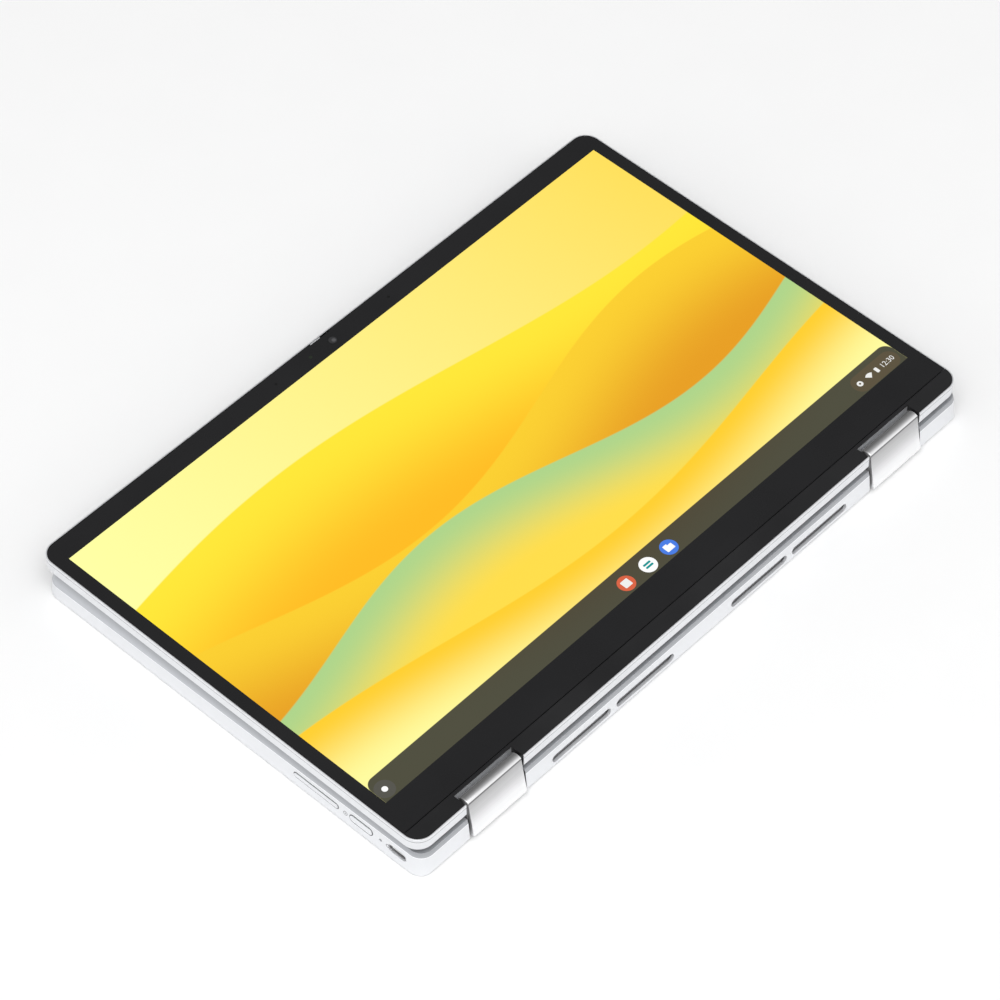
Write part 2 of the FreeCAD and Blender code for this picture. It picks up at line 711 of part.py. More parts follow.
def hinge_plates():
    """Steel plates inside each housing; they hold the shafts and the idler pins."""
    shafts = train_axes()
    plates = []
    for x in plate_x:
        ends = [cylinder(shafts[i], X_AXIS, plate_radius, *x) for i in (0, 3)]
        strap = ends[0].fuse(ends[1])
        across = (shafts[3] - shafts[0]).cross(X_AXIS).normalize() * plate_radius
        corners = [shafts[0] + across, shafts[3] + across, shafts[3] - across, shafts[0] - across]
        wire = Part.makePolygon([p + X_AXIS * x[0] for p in corners + corners[:1]])
        strap = strap.fuse(Part.Face(wire).extrude(X_AXIS * (x[1] - x[0])))
        through = (x[0] - 1, x[1] + 1)
        bores = [cylinder(s, X_AXIS, shaft_radius + running_gap, *through) for s in (shafts[0], shafts[3])]
        bores += [cylinder(s, X_AXIS, idler_pin_radius + running_gap, *through) for s in shafts[1:3]]
        plates.append(strap.removeSplitter().cut(Part.makeCompound(bores)))
    return both_sides(Part.makeCompound(plates))


def gear_section(phase):
    """Toothed outline in the YZ plane; phase is a share of one tooth pitch, from the shaft line."""
    line = lid_shaft - base_shaft
    pitch = line.Length / 6
    module = 2 * pitch / gear_teeth
    heading = math.atan2(line.z, line.y)
    tip, root = pitch + 0.72 * module, pitch - 0.95 * module
    shares = ((-0.30, root), (-0.10, tip), (0.10, tip), (0.30, root))
    points = []
    for i in range(gear_teeth):
        for share, radius in shares:
            angle = heading + (i + phase + share) * 2 * math.pi / gear_teeth
            points.append(V(0, radius * math.cos(angle), radius * math.sin(angle)))
    return Part.Face(Part.makePolygon(points + points[:1]))


def gear(place, phase, bore, x):
    wheel = gear_section(phase)
    wheel.translate(train_axes()[place] + X_AXIS * x[0])
    wheel = wheel.extrude(X_AXIS * (x[1] - x[0]))
    if bore:
        wheel = wheel.cut(cylinder(train_axes()[place], X_AXIS, bore, x[0] - 1, x[1] + 1))
    return wheel


def shaft(place, end_x):
    """Steel shaft from its bracket through the housing wall and both plates."""
    return both_sides(cylinder(train_axes()[place], X_AXIS, shaft_radius, 90, end_x))


def idler(place, phase):
    """Idler gear with its pin, which turns in both plates."""
    pin = cylinder(train_axes()[place], X_AXIS, idler_pin_radius, plate_x[0][0] + 0.05, plate_x[1][1] - 0.05)
    return both_sides(gear(place, phase, 0, (gear_x[0] + 0.1, gear_x[1] - 0.1)).fuse(pin))


def lid_brackets():
    """Steel leaves that grip the lid shafts and run forward along the lid's floor."""
    floor = lid_bottom_z + lid_floor
    grip = span_box((90, 100.4), (lid_shaft.y - 1.65, lid_shaft.y + 2.6), (floor + 0.3, 20.2))
    leaf = span_box((86, 100.4), (lid_shaft.y + 2.0, -74), (floor + 0.05, 16.4))
    bracket = grip.fuse(leaf).cut(cylinder(lid_shaft, X_AXIS, shaft_radius, 80, 110))
    bore = bracket_screw_radius + 0.1
    holes = [cylinder(V(bracket_screw_x, y, 0), Z_AXIS, bore, 14, 18) for y in lid_bracket_screw_y]
    return both_sides(bracket.cut(Part.makeCompound(holes)).removeSplitter())


def base_brackets():
    """Steel leaves that grip the base shafts and are screwed to the deck."""
    grip = span_box((90, 100.4), (base_shaft.y - 1.5, base_shaft.y + 3.4), (1.9, base_shaft.z + 2.6))
    leaf = span_box((86, 100.4), (base_shaft.y + 3.0, -87.5), (1.7, 3.2))
    bracket = grip.fuse(leaf).cut(cylinder(base_shaft, X_AXIS, shaft_radius, 80, 110))
    hole = cylinder(V(bracket_screw_x, base_bracket_screw_y, 0), Z_AXIS, bracket_screw_radius + 0.1, 0, 5)
    return both_sides(bracket.cut(hole).removeSplitter())


def lid_blank(inset, low, high):
    x = lid_half_width - inset
    y = (lid_rear_y + inset, lid_front_y - inset)
    return rounded_plate((-x, x), y, (low, high), lid_corner_radius - inset)


def lid_cover():
    """Aluminium back of the lid with its rim, open towards the screen."""
    block = lid_blank(0, lid_bottom_z, lid_top_z)
    lower = [e for e in block.Edges if e.BoundBox.ZMax < lid_bottom_z + 0.01]
    upper = [e for e in block.Edges if e.BoundBox.ZMin > lid_top_z - 0.01]
    block = block.makeFillet(lid_edge_fillet, lower).makeFillet(0.25, upper)
    seat_z = lid_top_z - glass_thickness - glass_seat_gap
    cavity = lid_blank(lid_wall, lid_bottom_z + lid_floor, seat_z)
    cavity = cavity.cut(notch_blocks(lid_notch_y, notch_wall))
    recess = lid_blank(rim_width, seat_z, 25)
    shell = block.cut(cavity).cut(recess).cut(notch_blocks(lid_notch_y, 0))
    holes = [both_sides(cylinder(lid_shaft, X_AXIS, shaft_radius + 0.3, 98, 103))]
    pocket = span_box(bracket_pocket_x, (lid_rear_y + 0.65, -95), (lid_bottom_z + lid_floor, seat_z))
    holes.append(both_sides(pocket))
    holes.append(span_box(shutter_gap_x, (lid_front_y - 1.85, lid_front_y - rim_width), (20.0, 25)))
    return shell.cut(Part.makeCompound(holes))


def display_glass():
    """Cover glass over the screen and its black border, with a small gap for the shutter's tab."""
    gap = rim_width + 0.06
    x = lid_half_width - gap
    y = (seam_y + seam_half_gap, lid_front_y - gap)
    plate = rounded_plate((-x, x), (y[0] - 20, y[1]), (lid_top_z - glass_thickness, lid_top_z - 0.05), 6.8)
    plate = plate.cut(span_box((-200, 200), (-130, y[0]), (15, 25)))
    return plate.cut(span_box(shutter_gap_x, (lid_front_y - 1.4, 110), (15, 25)))


def hinge_strip():
    """Black strip between the glass and the hinge edge, cut out round the two hinges."""
    gap = rim_width + 0.1
    x = lid_half_width - gap
    z = (lid_top_z - glass_thickness, lid_top_z - 0.05)
    plate = rounded_plate((-x, x), (lid_rear_y + gap, -70), z, 6.8)
    plate = plate.cut(span_box((-200, 200), (seam_y - seam_half_gap, 0), (15, 25)))
    return plate.cut(notch_blocks(lid_notch_y - 0.05, 0))


def lcd_panel():
    x = active_half_width + 2.2
    y = (active_centre_y - active_half_depth - 3.6, active_centre_y + active_half_depth + 2.2)
    return span_box((-x, x), y, panel_z)


def display_driver():
    """Narrow driver board under the panel's lower edge, with its row of chips."""
    firsts = [driver_chip_first_x + i * driver_chip_pitch for i in range(driver_chips)]
    chips = [span_box((x, x + 12), (-90, -86.5), (18.4, 19.2)) for x in firsts]
    return span_box(*driver_board).fuse(chips)


def touch_controller():
    return span_box(*touch_board).fuse(span_box(*touch_chip))


def camera_module():
    """Narrow camera board above the screen with the camera's square body."""
    half = camera_body_half
    body = span_box((-half, half), (eye_y - 2.4, eye_y + 2.4), (18.4, 19.6))
    bore = cylinder(V(0, eye_y, 0), Z_AXIS, lens_radius + 0.1, 18.9, 22)
    return span_box(*camera_board).fuse(body).cut(bore)


def camera_lens():
    return cylinder(V(0, eye_y, 0), Z_AXIS, lens_radius, 18.95, 19.9)


def lid_microphones():
    cans = []
    for x in (-microphone_x, microphone_x):
        can = span_box((x - 1.9, x + 1.9), (98.3, 101.2), (18.45, 19.4))
        cans.append(can.cut(cylinder(V(x, 99.7, 0), Z_AXIS, 0.4, 19.0, 20)))
    return Part.makeCompound(cans)


def privacy_shutter():
    """Thin blade beside the lens with a tab on the lid's free edge; it slides across the lens."""
    blade = span_box(shutter_x, (97.8, 104.9), shutter_z)
    tab_y = (lid_front_y - 1.25, lid_front_y - 0.75)
    return blade.fuse(rounded_plate(shutter_x, tab_y, (shutter_z[0], 21.25), 0.2))


def lid_antennas():
    return both_sides(span_box(*antenna_strip).fuse(span_box(*antenna_feed)))


def lid_screws():
    screws = []
    for x in (-bracket_screw_x, bracket_screw_x):
        for y in lid_bracket_screw_y:
            head = cylinder(V(x, y, 0), Z_AXIS, bracket_head_radius, 16.42, 17.2)
            screws.append(head.fuse(cylinder(V(x, y, 0), Z_AXIS, bracket_screw_radius, 15.35, 16.5)))
    return Part.makeCompound(screws)


def lid_cable():
    """Flat display cable on the lid's floor, from the driver board to the right hinge."""
    return span_box(*lid_leads[0]).fuse(span_box(*lid_leads[1]))


def base_cable():
    """Flat display cable in the base, from the right hinge to its socket on the mainboard."""
    return span_box(*base_lead).fuse(span_box(*base_lead_socket))


def build():
    nodes = {
        "lid_cover": lid_cover(),
        "display_glass": display_glass(),
        "hinge_strip": hinge_strip(),
        "lcd_panel": lcd_panel(),
        "display_driver": display_driver(),
        "touch_controller": touch_controller(),
        "camera_module": camera_module(),
        "camera_lens": camera_lens(),
        "lid_microphones": lid_microphones(),
        "privacy_shutter": privacy_shutter(),
        "lid_antennas": lid_antennas(),
        "lid_brackets": lid_brackets(),
        "lid_screws": lid_screws(),
        "lid_cable": lid_cable(),
        "lid_shafts": shaft(3, shaft_end_x),
        "lid_gears": both_sides(gear(3, 0.5, shaft_radius, gear_x)),
        "idler_gears_lid_side": idler(2, 0.0),
        "idler_gears_base_side": idler(1, 0.5),
        "base_gears": both_sides(gear(0, 0.0, shaft_radius, gear_x)),
        "base_shafts": shaft(0, shaft_end_x),
        "hinge_plates": hinge_plates(),
        "hinge_housing_left": mirrored(hinge_housing()),
        "hinge_housing_right": hinge_housing(),
        "base_brackets": base_brackets(),
        "keyboard_deck": keyboard_deck(),
        "bottom_cover": bottom_cover(),
        "base_screws": base_screws(),
        "base_feet": base_feet(),
        "deck_bumpers": deck_bumpers(),
        "keyboard_plate": keyboard_plate(),
        "touch_pad": touch_pad(),
        "touch_pad_board": touch_pad_board(),
        "mainboard": mainboard(),
        "processor_and_memory": processor_and_memory(),
        "storage_module": storage_module(),
        "wireless_card": wireless_card(),
        "heat_pipe": heat_pipe(),
        "cooling_fins": cooling_fins(),
        "fan_housing": fan_housing(),
        "fan_rotor": fan_rotor(),
        "battery": battery(),
        "speakers": speakers(),
        "vent_grille": vent_grille(),
        "usb_c_port_left": usb_c_port(-1, usb_c_y),
        "usb_c_port_right": usb_c_port(1, usb_c_right_y),
        "usb_a_port": usb_a_port(),
        "audio_jack": audio_jack(),
        "card_slot": card_slot(),
        "power_button": power_button(),
        "volume_rocker": volume_rocker(),
        "side_board": side_board(),
        "status_light": status_light(),
        "base_cable": base_cable(),
    }
    rows = ("function", "number", "upper", "home", "lower", "bottom", "space")
    for row in rows:
        nodes[f"keys_{row}"] = keys_of(row)
    return nodes


os.makedirs("parts", exist_ok=True)
for name, shape in build().items():
    shape.exportStep(os.path.join("parts", name + ".step"))
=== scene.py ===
# A laptop computer folded right round into a tablet, display up, lying on its keyboard side.
# Lengths are in metres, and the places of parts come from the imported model.
import json
import math

import bmesh
import bpy
import numpy as np
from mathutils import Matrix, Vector


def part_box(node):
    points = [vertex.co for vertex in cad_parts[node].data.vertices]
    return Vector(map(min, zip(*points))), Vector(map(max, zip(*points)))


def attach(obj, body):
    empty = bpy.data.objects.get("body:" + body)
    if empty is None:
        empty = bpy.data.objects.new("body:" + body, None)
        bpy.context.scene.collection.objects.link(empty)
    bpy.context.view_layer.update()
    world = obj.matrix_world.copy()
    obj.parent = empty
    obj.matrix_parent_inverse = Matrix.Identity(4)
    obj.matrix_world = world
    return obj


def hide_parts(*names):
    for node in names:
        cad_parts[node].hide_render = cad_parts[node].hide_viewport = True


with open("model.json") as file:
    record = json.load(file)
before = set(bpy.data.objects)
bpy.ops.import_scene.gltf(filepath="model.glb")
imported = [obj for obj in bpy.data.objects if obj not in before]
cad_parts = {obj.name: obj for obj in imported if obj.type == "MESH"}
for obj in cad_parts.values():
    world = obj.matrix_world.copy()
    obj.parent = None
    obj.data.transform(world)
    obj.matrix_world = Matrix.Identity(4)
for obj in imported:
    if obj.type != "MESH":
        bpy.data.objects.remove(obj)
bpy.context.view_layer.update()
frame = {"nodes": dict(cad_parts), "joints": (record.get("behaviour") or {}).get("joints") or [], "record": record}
nodes = frame["nodes"]
print("stage: frame loaded")


def placed(name, data):
    # an object in the scene for a mesh, the clock's text, a light or the camera
    thing = bpy.data.objects.new(name, data)
    bpy.context.scene.collection.objects.link(thing)
    return thing


def meshPiece(name, points, faces, material, body, uv=None, smooth=True):
    # puts arrays of points and faces into a piece that rides on a body
    mesh = bpy.data.meshes.new(name)
    mesh.from_pydata(points.tolist(), [], faces.tolist())
    if uv is not None:
        layer = mesh.uv_layers.new(name="picture")
        corners = np.zeros(len(mesh.loops), np.int32)
        mesh.loops.foreach_get("vertex_index", corners)
        layer.data.foreach_set("uv", uv[corners].astype(np.float32).ravel())
    mesh.polygons.foreach_set("use_smooth", np.full(len(mesh.polygons), smooth))
    mesh.update()
    mesh.materials.append(material)
    piece = placed(name, mesh)
    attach(piece, body)
    return piece


def gridFaces(rows, columns, closed=False):
    # quads between neighbours of a rows by columns grid, the last column joined to the first where closed
    i, j = np.meshgrid(np.arange(rows - 1), np.arange(columns if closed else columns - 1), indexing="ij")
    k = (j + 1) % columns
    row, above = i * columns, (i + 1) * columns
    return np.stack([row + j, row + k, above + k, above + j], -1).reshape(-1, 4)


def emptyMaterial(name):
    # a material that holds no nodes yet
    material = bpy.data.materials.new(name)
    material.use_nodes = True
    material.node_tree.nodes.clear()
    return material


def spreadNodes(tree):
    # sets the nodes out in columns, in the order they were made
    for index, node in enumerate(n for n in tree.nodes if n.type != "FRAME"):
        node.location = (260 * (index // 6) - 1600, 900 - 260 * (index % 6))


# the lit picture under the glass

picture = {
    "margin": 0.00593,        # black border at each side of the glass
    "lowEdge": -0.07965,      # hinge end of the lit area
    "highEdge": 0.09475,
    "lift": 0.00001,
    "light": 1.0,
    "cornerRound": 0.0045,
    "edgeSoftness": 0.0025,
    "barHeight": 0.0122,
    "barTone": (0.026, 0.026, 0.026),
    "barStrength": 0.955,     # how much of the picture the bar hides
    "barEdge": 0.0001,
    "columns": 41,
    "rows": 25,
}

# soft hills from the farthest to the nearest: each crest is a sine of the width, height + swing * sin(angle),
# and its colour deepens with the depth below the crest
hills = [
    # label, height, swing, turns across, start in turns, colour at the crest, colour deep down, depth
    ("far hill", 0.76, 0.07, 0.75, 0.05, (1.0, 0.80, 0.03), (1.0, 0.50, 0.006), 0.34),
    ("middle hill", 0.55, 0.09, 0.95, 0.42, (0.96, 0.62, 0.02), (0.80, 0.34, 0.006), 0.30),
    ("sage hill", 0.38, 0.07, 1.15, 0.85, (0.42, 0.66, 0.25), (1.0, 0.72, 0.06), 0.22),
    ("near hill", 0.21, 0.06, 0.85, 0.30, (1.0, 0.62, 0.02), (1.0, 0.96, 0.34), 0.20),
]


def pictureMaterial():
    # a plain picture of soft hills, a tool bar along the hinge end, and the polished glass over both
    material = emptyMaterial("litPicture")
    tree = material.node_tree
    nodesOf, linksOf = tree.nodes, tree.links

    output = nodesOf.new("ShaderNodeOutputMaterial")
    output.label = "glass front"
    glow = nodesOf.new("ShaderNodeBsdfPrincipled")
    glow.label = "glass over lit picture"
    place = nodesOf.new("ShaderNodeUVMap")
    place.label = "across and up the picture"
    across = nodesOf.new("ShaderNodeSeparateXYZ")
    across.label = "width and height"
    frames = {}
    for key in ("sky", "hills", "tool bar", "glass"):
        frames[key] = nodesOf.new("NodeFrame")
        frames[key].label = key
    place.uv_map = "picture"
    linksOf.new(place.outputs["UV"], across.inputs["Vector"])

    # the open sky of the picture
    skyShade = nodesOf.new("ShaderNodeValToRGB")
    skyShade.label = "pale sky across"
    skyShade.parent = frames["sky"]
    ramp = skyShade.color_ramp
    ramp.elements[0].position, ramp.elements[0].color = 0.0, (1.0, 1.0, 0.37, 1)
    ramp.elements[1].position, ramp.elements[1].color = 1.0, (1.0, 0.74, 0.10, 1)
    linksOf.new(across.outputs["X"], skyShade.inputs["Fac"])

    # each hill is laid over what stands behind it
    last = skyShade.outputs["Color"]
    for label, height, swing, turns, start, crestColour, deepColour, depth in hills:
        angle = nodesOf.new("ShaderNodeMath")
        angle.label = label + " angle"
        angle.operation = "MULTIPLY_ADD"
        angle.inputs[1].default_value = 2 * math.pi * turns
        angle.inputs[2].default_value = 2 * math.pi * start
        wave = nodesOf.new("ShaderNodeMath")
        wave.label = label + " wave"
        wave.operation = "SINE"
        crest = nodesOf.new("ShaderNodeMath")
        crest.label = label + " crest height"
        crest.operation = "MULTIPLY_ADD"
        crest.inputs[1].default_value = swing
        crest.inputs[2].default_value = height
        below = nodesOf.new("ShaderNodeMath")
        below.label = label + " depth below the crest"
        below.operation = "SUBTRACT"
        inside = nodesOf.new("ShaderNodeMapRange")
        inside.label = label + " edge"
        inside.interpolation_type = "SMOOTHSTEP"
        inside.inputs["From Min"].default_value = -picture["edgeSoftness"]
        inside.inputs["From Max"].default_value = picture["edgeSoftness"]
        deepen = nodesOf.new("ShaderNodeMapRange")
        deepen.label = label + " shading"
        deepen.interpolation_type = "SMOOTHSTEP"
        deepen.inputs["From Max"].default_value = depth
        tone = nodesOf.new("ShaderNodeMix")
        tone.label = label + " colour"
        tone.data_type = "RGBA"
        tone.inputs[6].default_value = (*crestColour, 1)
        tone.inputs[7].default_value = (*deepColour, 1)
        laid = nodesOf.new("ShaderNodeMix")
        laid.label = label
        laid.data_type = "RGBA"
        for node in (angle, wave, crest, below, inside, deepen, tone, laid):
            node.parent = frames["hills"]
        linksOf.new(across.outputs["X"], angle.inputs[0])
        linksOf.new(angle.outputs["Value"], wave.inputs[0])
        linksOf.new(wave.outputs["Value"], crest.inputs[0])
        linksOf.new(crest.outputs["Value"], below.inputs[0])
        linksOf.new(across.outputs["Y"], below.inputs[1])
        linksOf.new(below.outputs["Value"], inside.inputs["Value"])
        linksOf.new(below.outputs["Value"], deepen.inputs["Value"])
        linksOf.new(deepen.outputs["Result"], tone.inputs[0])
        linksOf.new(inside.outputs["Result"], laid.inputs[0])
        linksOf.new(last, laid.inputs[6])
        linksOf.new(tone.outputs[2], laid.inputs[7])
        last = laid.outputs[2]

    # the dark see-through tool bar along the hinge end, its two upper corners round
    width = pictureWidth
    height = picture["highEdge"] - picture["lowEdge"]
    inset = picture["cornerRound"]
    centred = nodesOf.new("ShaderNodeMath")
    centred.label = "width from the middle"
    centred.operation = "SUBTRACT"
    centred.inputs[1].default_value = 0.5
    sideways = nodesOf.new("ShaderNodeMath")
    sideways.label = "either side"
    sideways.operation = "ABSOLUTE"
    overSide = nodesOf.new("ShaderNodeMapRange")
    overSide.label = "past the corner's middle, in metres"
    overSide.inputs["From Min"].default_value = 0.5 - inset / width
    overSide.inputs["From Max"].default_value = 0.5
    overSide.inputs["To Max"].default_value = inset
    overTop = nodesOf.new("ShaderNodeMapRange")
    overTop.label = "above the corner's middle, in metres"
    overTop.clamp = False
    overTop.inputs["From Min"].default_value = (picture["barHeight"] - inset) / height
    overTop.inputs["From Max"].default_value = picture["barHeight"] / height
    overTop.inputs["To Max"].default_value = inset
    onlyUp = nodesOf.new("ShaderNodeMath")
    onlyUp.label = "nothing below"
    onlyUp.operation = "MAXIMUM"
    onlyUp.inputs[1].default_value = 0.0
    bend = nodesOf.new("ShaderNodeCombineXYZ")
    bend.label = "offset from the corner"
    bendLength = nodesOf.new("ShaderNodeVectorMath")
    bendLength.label = "corner distance"
    bendLength.operation = "LENGTH"
    barSide = nodesOf.new("ShaderNodeMapRange")
    barSide.label = "inside the bar"
    barSide.inputs["From Min"].default_value = inset - picture["barEdge"]
    barSide.inputs["From Max"].default_value = inset + picture["barEdge"]
    barSide.inputs["To Min"].default_value = picture["barStrength"]
    barSide.inputs["To Max"].default_value = 0.0
    barTone = nodesOf.new("ShaderNodeMix")
    barTone.label = "dark bar over the picture"
    barTone.data_type = "RGBA"
    barTone.inputs[7].default_value = (*picture["barTone"], 1)
    for node in (centred, sideways, overSide, overTop, onlyUp, bend, bendLength, barSide, barTone):
        node.parent = frames["tool bar"]
    linksOf.new(across.outputs["X"], centred.inputs[0])
    linksOf.new(centred.outputs["Value"], sideways.inputs[0])
    linksOf.new(sideways.outputs["Value"], overSide.inputs["Value"])
    linksOf.new(across.outputs["Y"], overTop.inputs["Value"])
    linksOf.new(overTop.outputs["Result"], onlyUp.inputs[0])
    linksOf.new(overSide.outputs["Result"], bend.inputs["X"])
    linksOf.new(onlyUp.outputs["Value"], bend.inputs["Y"])
    linksOf.new(bend.outputs["Vector"], bendLength.inputs[0])
    linksOf.new(bendLength.outputs["Value"], barSide.inputs["Value"])
    linksOf.new(barSide.outputs["Result"], barTone.inputs[0])
    linksOf.new(last, barTone.inputs[6])

    # polished glass with the faintest smear in its polish
    smear = nodesOf.new("ShaderNodeTexNoise")
    smear.label = "faint smears"
    smear.inputs["Scale"].default_value = 9.0
    smear.inputs["Detail"].default_value = 3.0
    polish = nodesOf.new("ShaderNodeMapRange")
    polish.label = "polish"
    polish.inputs["To Min"].default_value = 0.05
    polish.inputs["To Max"].default_value = 0.11
    for node in (smear, polish):
        node.parent = frames["glass"]
    glow.inputs["Base Color"].default_value = (0.012, 0.012, 0.012, 1)
    glow.inputs["Emission Strength"].default_value = picture["light"]
    glow.inputs["IOR"].default_value = 1.45
    glow.inputs["Specular IOR Level"].default_value = 0.12
    linksOf.new(place.outputs["UV"], smear.inputs["Vector"])
    linksOf.new(smear.outputs["Fac"], polish.inputs["Value"])
    linksOf.new(polish.outputs["Result"], glow.inputs["Roughness"])
    linksOf.new(barTone.outputs[2], glow.inputs["Emission Color"])
    linksOf.new(glow.outputs["BSDF"], output.inputs["Surface"])
    spreadNodes(tree)
    return material


def anodisedShell(name, tone, roughness, metal, line=(-1.0, 0.0, 0.4, 0.00015), pale=(-2.0, -1.0, 1.0)):
    # bead-blasted, anodised metal: a very fine even grain, slight drift in tone, softer polish where it is
    # handled, edges that catch the light, and a fine line round the part, darker for a seam and paler for a
    # painted highlight;
    # line gives its height, its slope along y, its share of the tone and half its width;
    # pale gives two heights and how much paler the tone is at the first of them than at the second, painted light
    # towards the first and painted shade towards the second
    lineHeight, lineSlope, lineTone, lineHalf = line
    lowHeight, highHeight, paintedLightShare = pale
    material = emptyMaterial(name)
    tree = material.node_tree
    output = tree.nodes.new("ShaderNodeOutputMaterial")
    output.label = "shell surface"
    metalSkin = tree.nodes.new("ShaderNodeBsdfPrincipled")
    metalSkin.label = "anodised skin"
    place = tree.nodes.new("ShaderNodeTexCoord")
    place.label = "place on the part"
    grainFrame = tree.nodes.new("NodeFrame")
    grainFrame.label = "blasted grain"
    toneFrame = tree.nodes.new("NodeFrame")
    toneFrame.label = "tone and polish"

    grain = tree.nodes.new("ShaderNodeTexNoise")
    grain.label = "bead marks"
    sparkle = tree.nodes.new("ShaderNodeTexVoronoi")
    sparkle.label = "bright points"
    relief = tree.nodes.new("ShaderNodeBump")
    relief.label = "grain height"
    drift = tree.nodes.new("ShaderNodeTexNoise")
    drift.label = "slow drift"
    shade = tree.nodes.new("ShaderNodeValToRGB")
    shade.label = "tone of the anodising"
    speck = tree.nodes.new("ShaderNodeMix")
    speck.label = "points over tone"
    polish = tree.nodes.new("ShaderNodeMapRange")
    polish.label = "handled polish"
    softEdge = tree.nodes.new("ShaderNodeBevel")
    softEdge.label = "broken edges"
    height = tree.nodes.new("ShaderNodeVectorMath")
    height.label = "height over the slope"
    nearLine = tree.nodes.new("ShaderNodeMath")
    nearLine.label = "at the joint line and painted highlight line"
    lined = tree.nodes.new("ShaderNodeMix")
    lined.label = "fine joint line and painted highlight line"
    paintedLightRamp = tree.nodes.new("ShaderNodeMapRange")
    paintedLightRamp.label = "painted light towards the foot"
    paler = tree.nodes.new("ShaderNodeVectorMath")
    paler.label = "painted shade by height"
    lineFrame = tree.nodes.new("NodeFrame")
    lineFrame.label = "joint line and painted highlight line"
    height.parent = nearLine.parent = lined.parent = lineFrame
    grain.parent = sparkle.parent = relief.parent = softEdge.parent = grainFrame
    drift.parent = shade.parent = speck.parent = polish.parent = paintedLightRamp.parent = paler.parent = toneFrame

    grain.inputs["Scale"].default_value = 5200
    grain.inputs["Detail"].default_value = 2
    paintedLightRamp.inputs["From Min"].default_value = lowHeight
    paintedLightRamp.inputs["From Max"].default_value = highHeight
    paintedLightRamp.inputs["To Min"].default_value = paintedLightShare
    paintedLightRamp.inputs["To Max"].default_value = 1.0
    paler.operation = "SCALE"
    sparkle.inputs["Scale"].default_value = 3600
    relief.inputs["Strength"].default_value = 0.06
    relief.inputs["Distance"].default_value = 0.00003
    drift.inputs["Scale"].default_value = 14
    drift.inputs["Detail"].default_value = 3
    shade.color_ramp.elements[0].position = 0.3
    shade.color_ramp.elements[0].color = (*(0.985 * t for t in tone), 1)
    shade.color_ramp.elements[1].position = 0.7
    shade.color_ramp.elements[1].color = (*tone, 1)
    speck.data_type = "RGBA"
    speck.blend_type = "SOFT_LIGHT"
    speck.inputs[0].default_value = 0.06
    polish.inputs["From Min"].default_value = 0.3
    polish.inputs["From Max"].default_value = 0.7
    polish.inputs["To Min"].default_value = roughness - 0.04
    polish.inputs["To Max"].default_value = roughness + 0.05
    softEdge.samples = 4
    softEdge.inputs["Radius"].default_value = 0.00025
    nearLine.operation = "COMPARE"
    nearLine.inputs[1].default_value = lineHeight
    nearLine.inputs[2].default_value = lineHalf
    height.operation = "DOT_PRODUCT"
    height.inputs[1].default_value = (0, lineSlope, 1)
    lined.data_type = "RGBA"
    lined.inputs[7].default_value = (*(min(lineTone * t, 1.0) for t in tone), 1)
    metalSkin.inputs["Metallic"].default_value = metal

    tree.links.new(place.outputs["Object"], height.inputs[0])
    tree.links.new(height.outputs["Value"], nearLine.inputs[0])
    tree.links.new(nearLine.outputs["Value"], lined.inputs[0])
    tree.links.new(softEdge.outputs["Normal"], relief.inputs["Normal"])
    tree.links.new(place.outputs["Object"], grain.inputs["Vector"])
    tree.links.new(place.outputs["Object"], sparkle.inputs["Vector"])
    tree.links.new(place.outputs["Object"], drift.inputs["Vector"])
    tree.links.new(grain.outputs["Fac"], relief.inputs["Height"])
    tree.links.new(drift.outputs["Fac"], shade.inputs["Fac"])
    tree.links.new(drift.outputs["Fac"], polish.inputs["Value"])
    tree.links.new(shade.outputs["Color"], speck.inputs[6])
    tree.links.new(sparkle.outputs["Distance"], speck.inputs[7])
    tree.links.new(height.outputs["Value"], paintedLightRamp.inputs["Value"])
    tree.links.new(speck.outputs[2], paler.inputs[0])
    tree.links.new(paintedLightRamp.outputs["Result"], paler.inputs["Scale"])
    tree.links.new(paler.outputs["Vector"], lined.inputs[6])
    tree.links.new(lined.outputs[2], metalSkin.inputs["Base Color"])
    tree.links.new(polish.outputs["Result"], metalSkin.inputs["Roughness"])
    tree.links.new(relief.outputs["Normal"], metalSkin.inputs["Normal"])
    tree.links.new(metalSkin.outputs["BSDF"], output.inputs["Surface"])
    spreadNodes(tree)
    return material


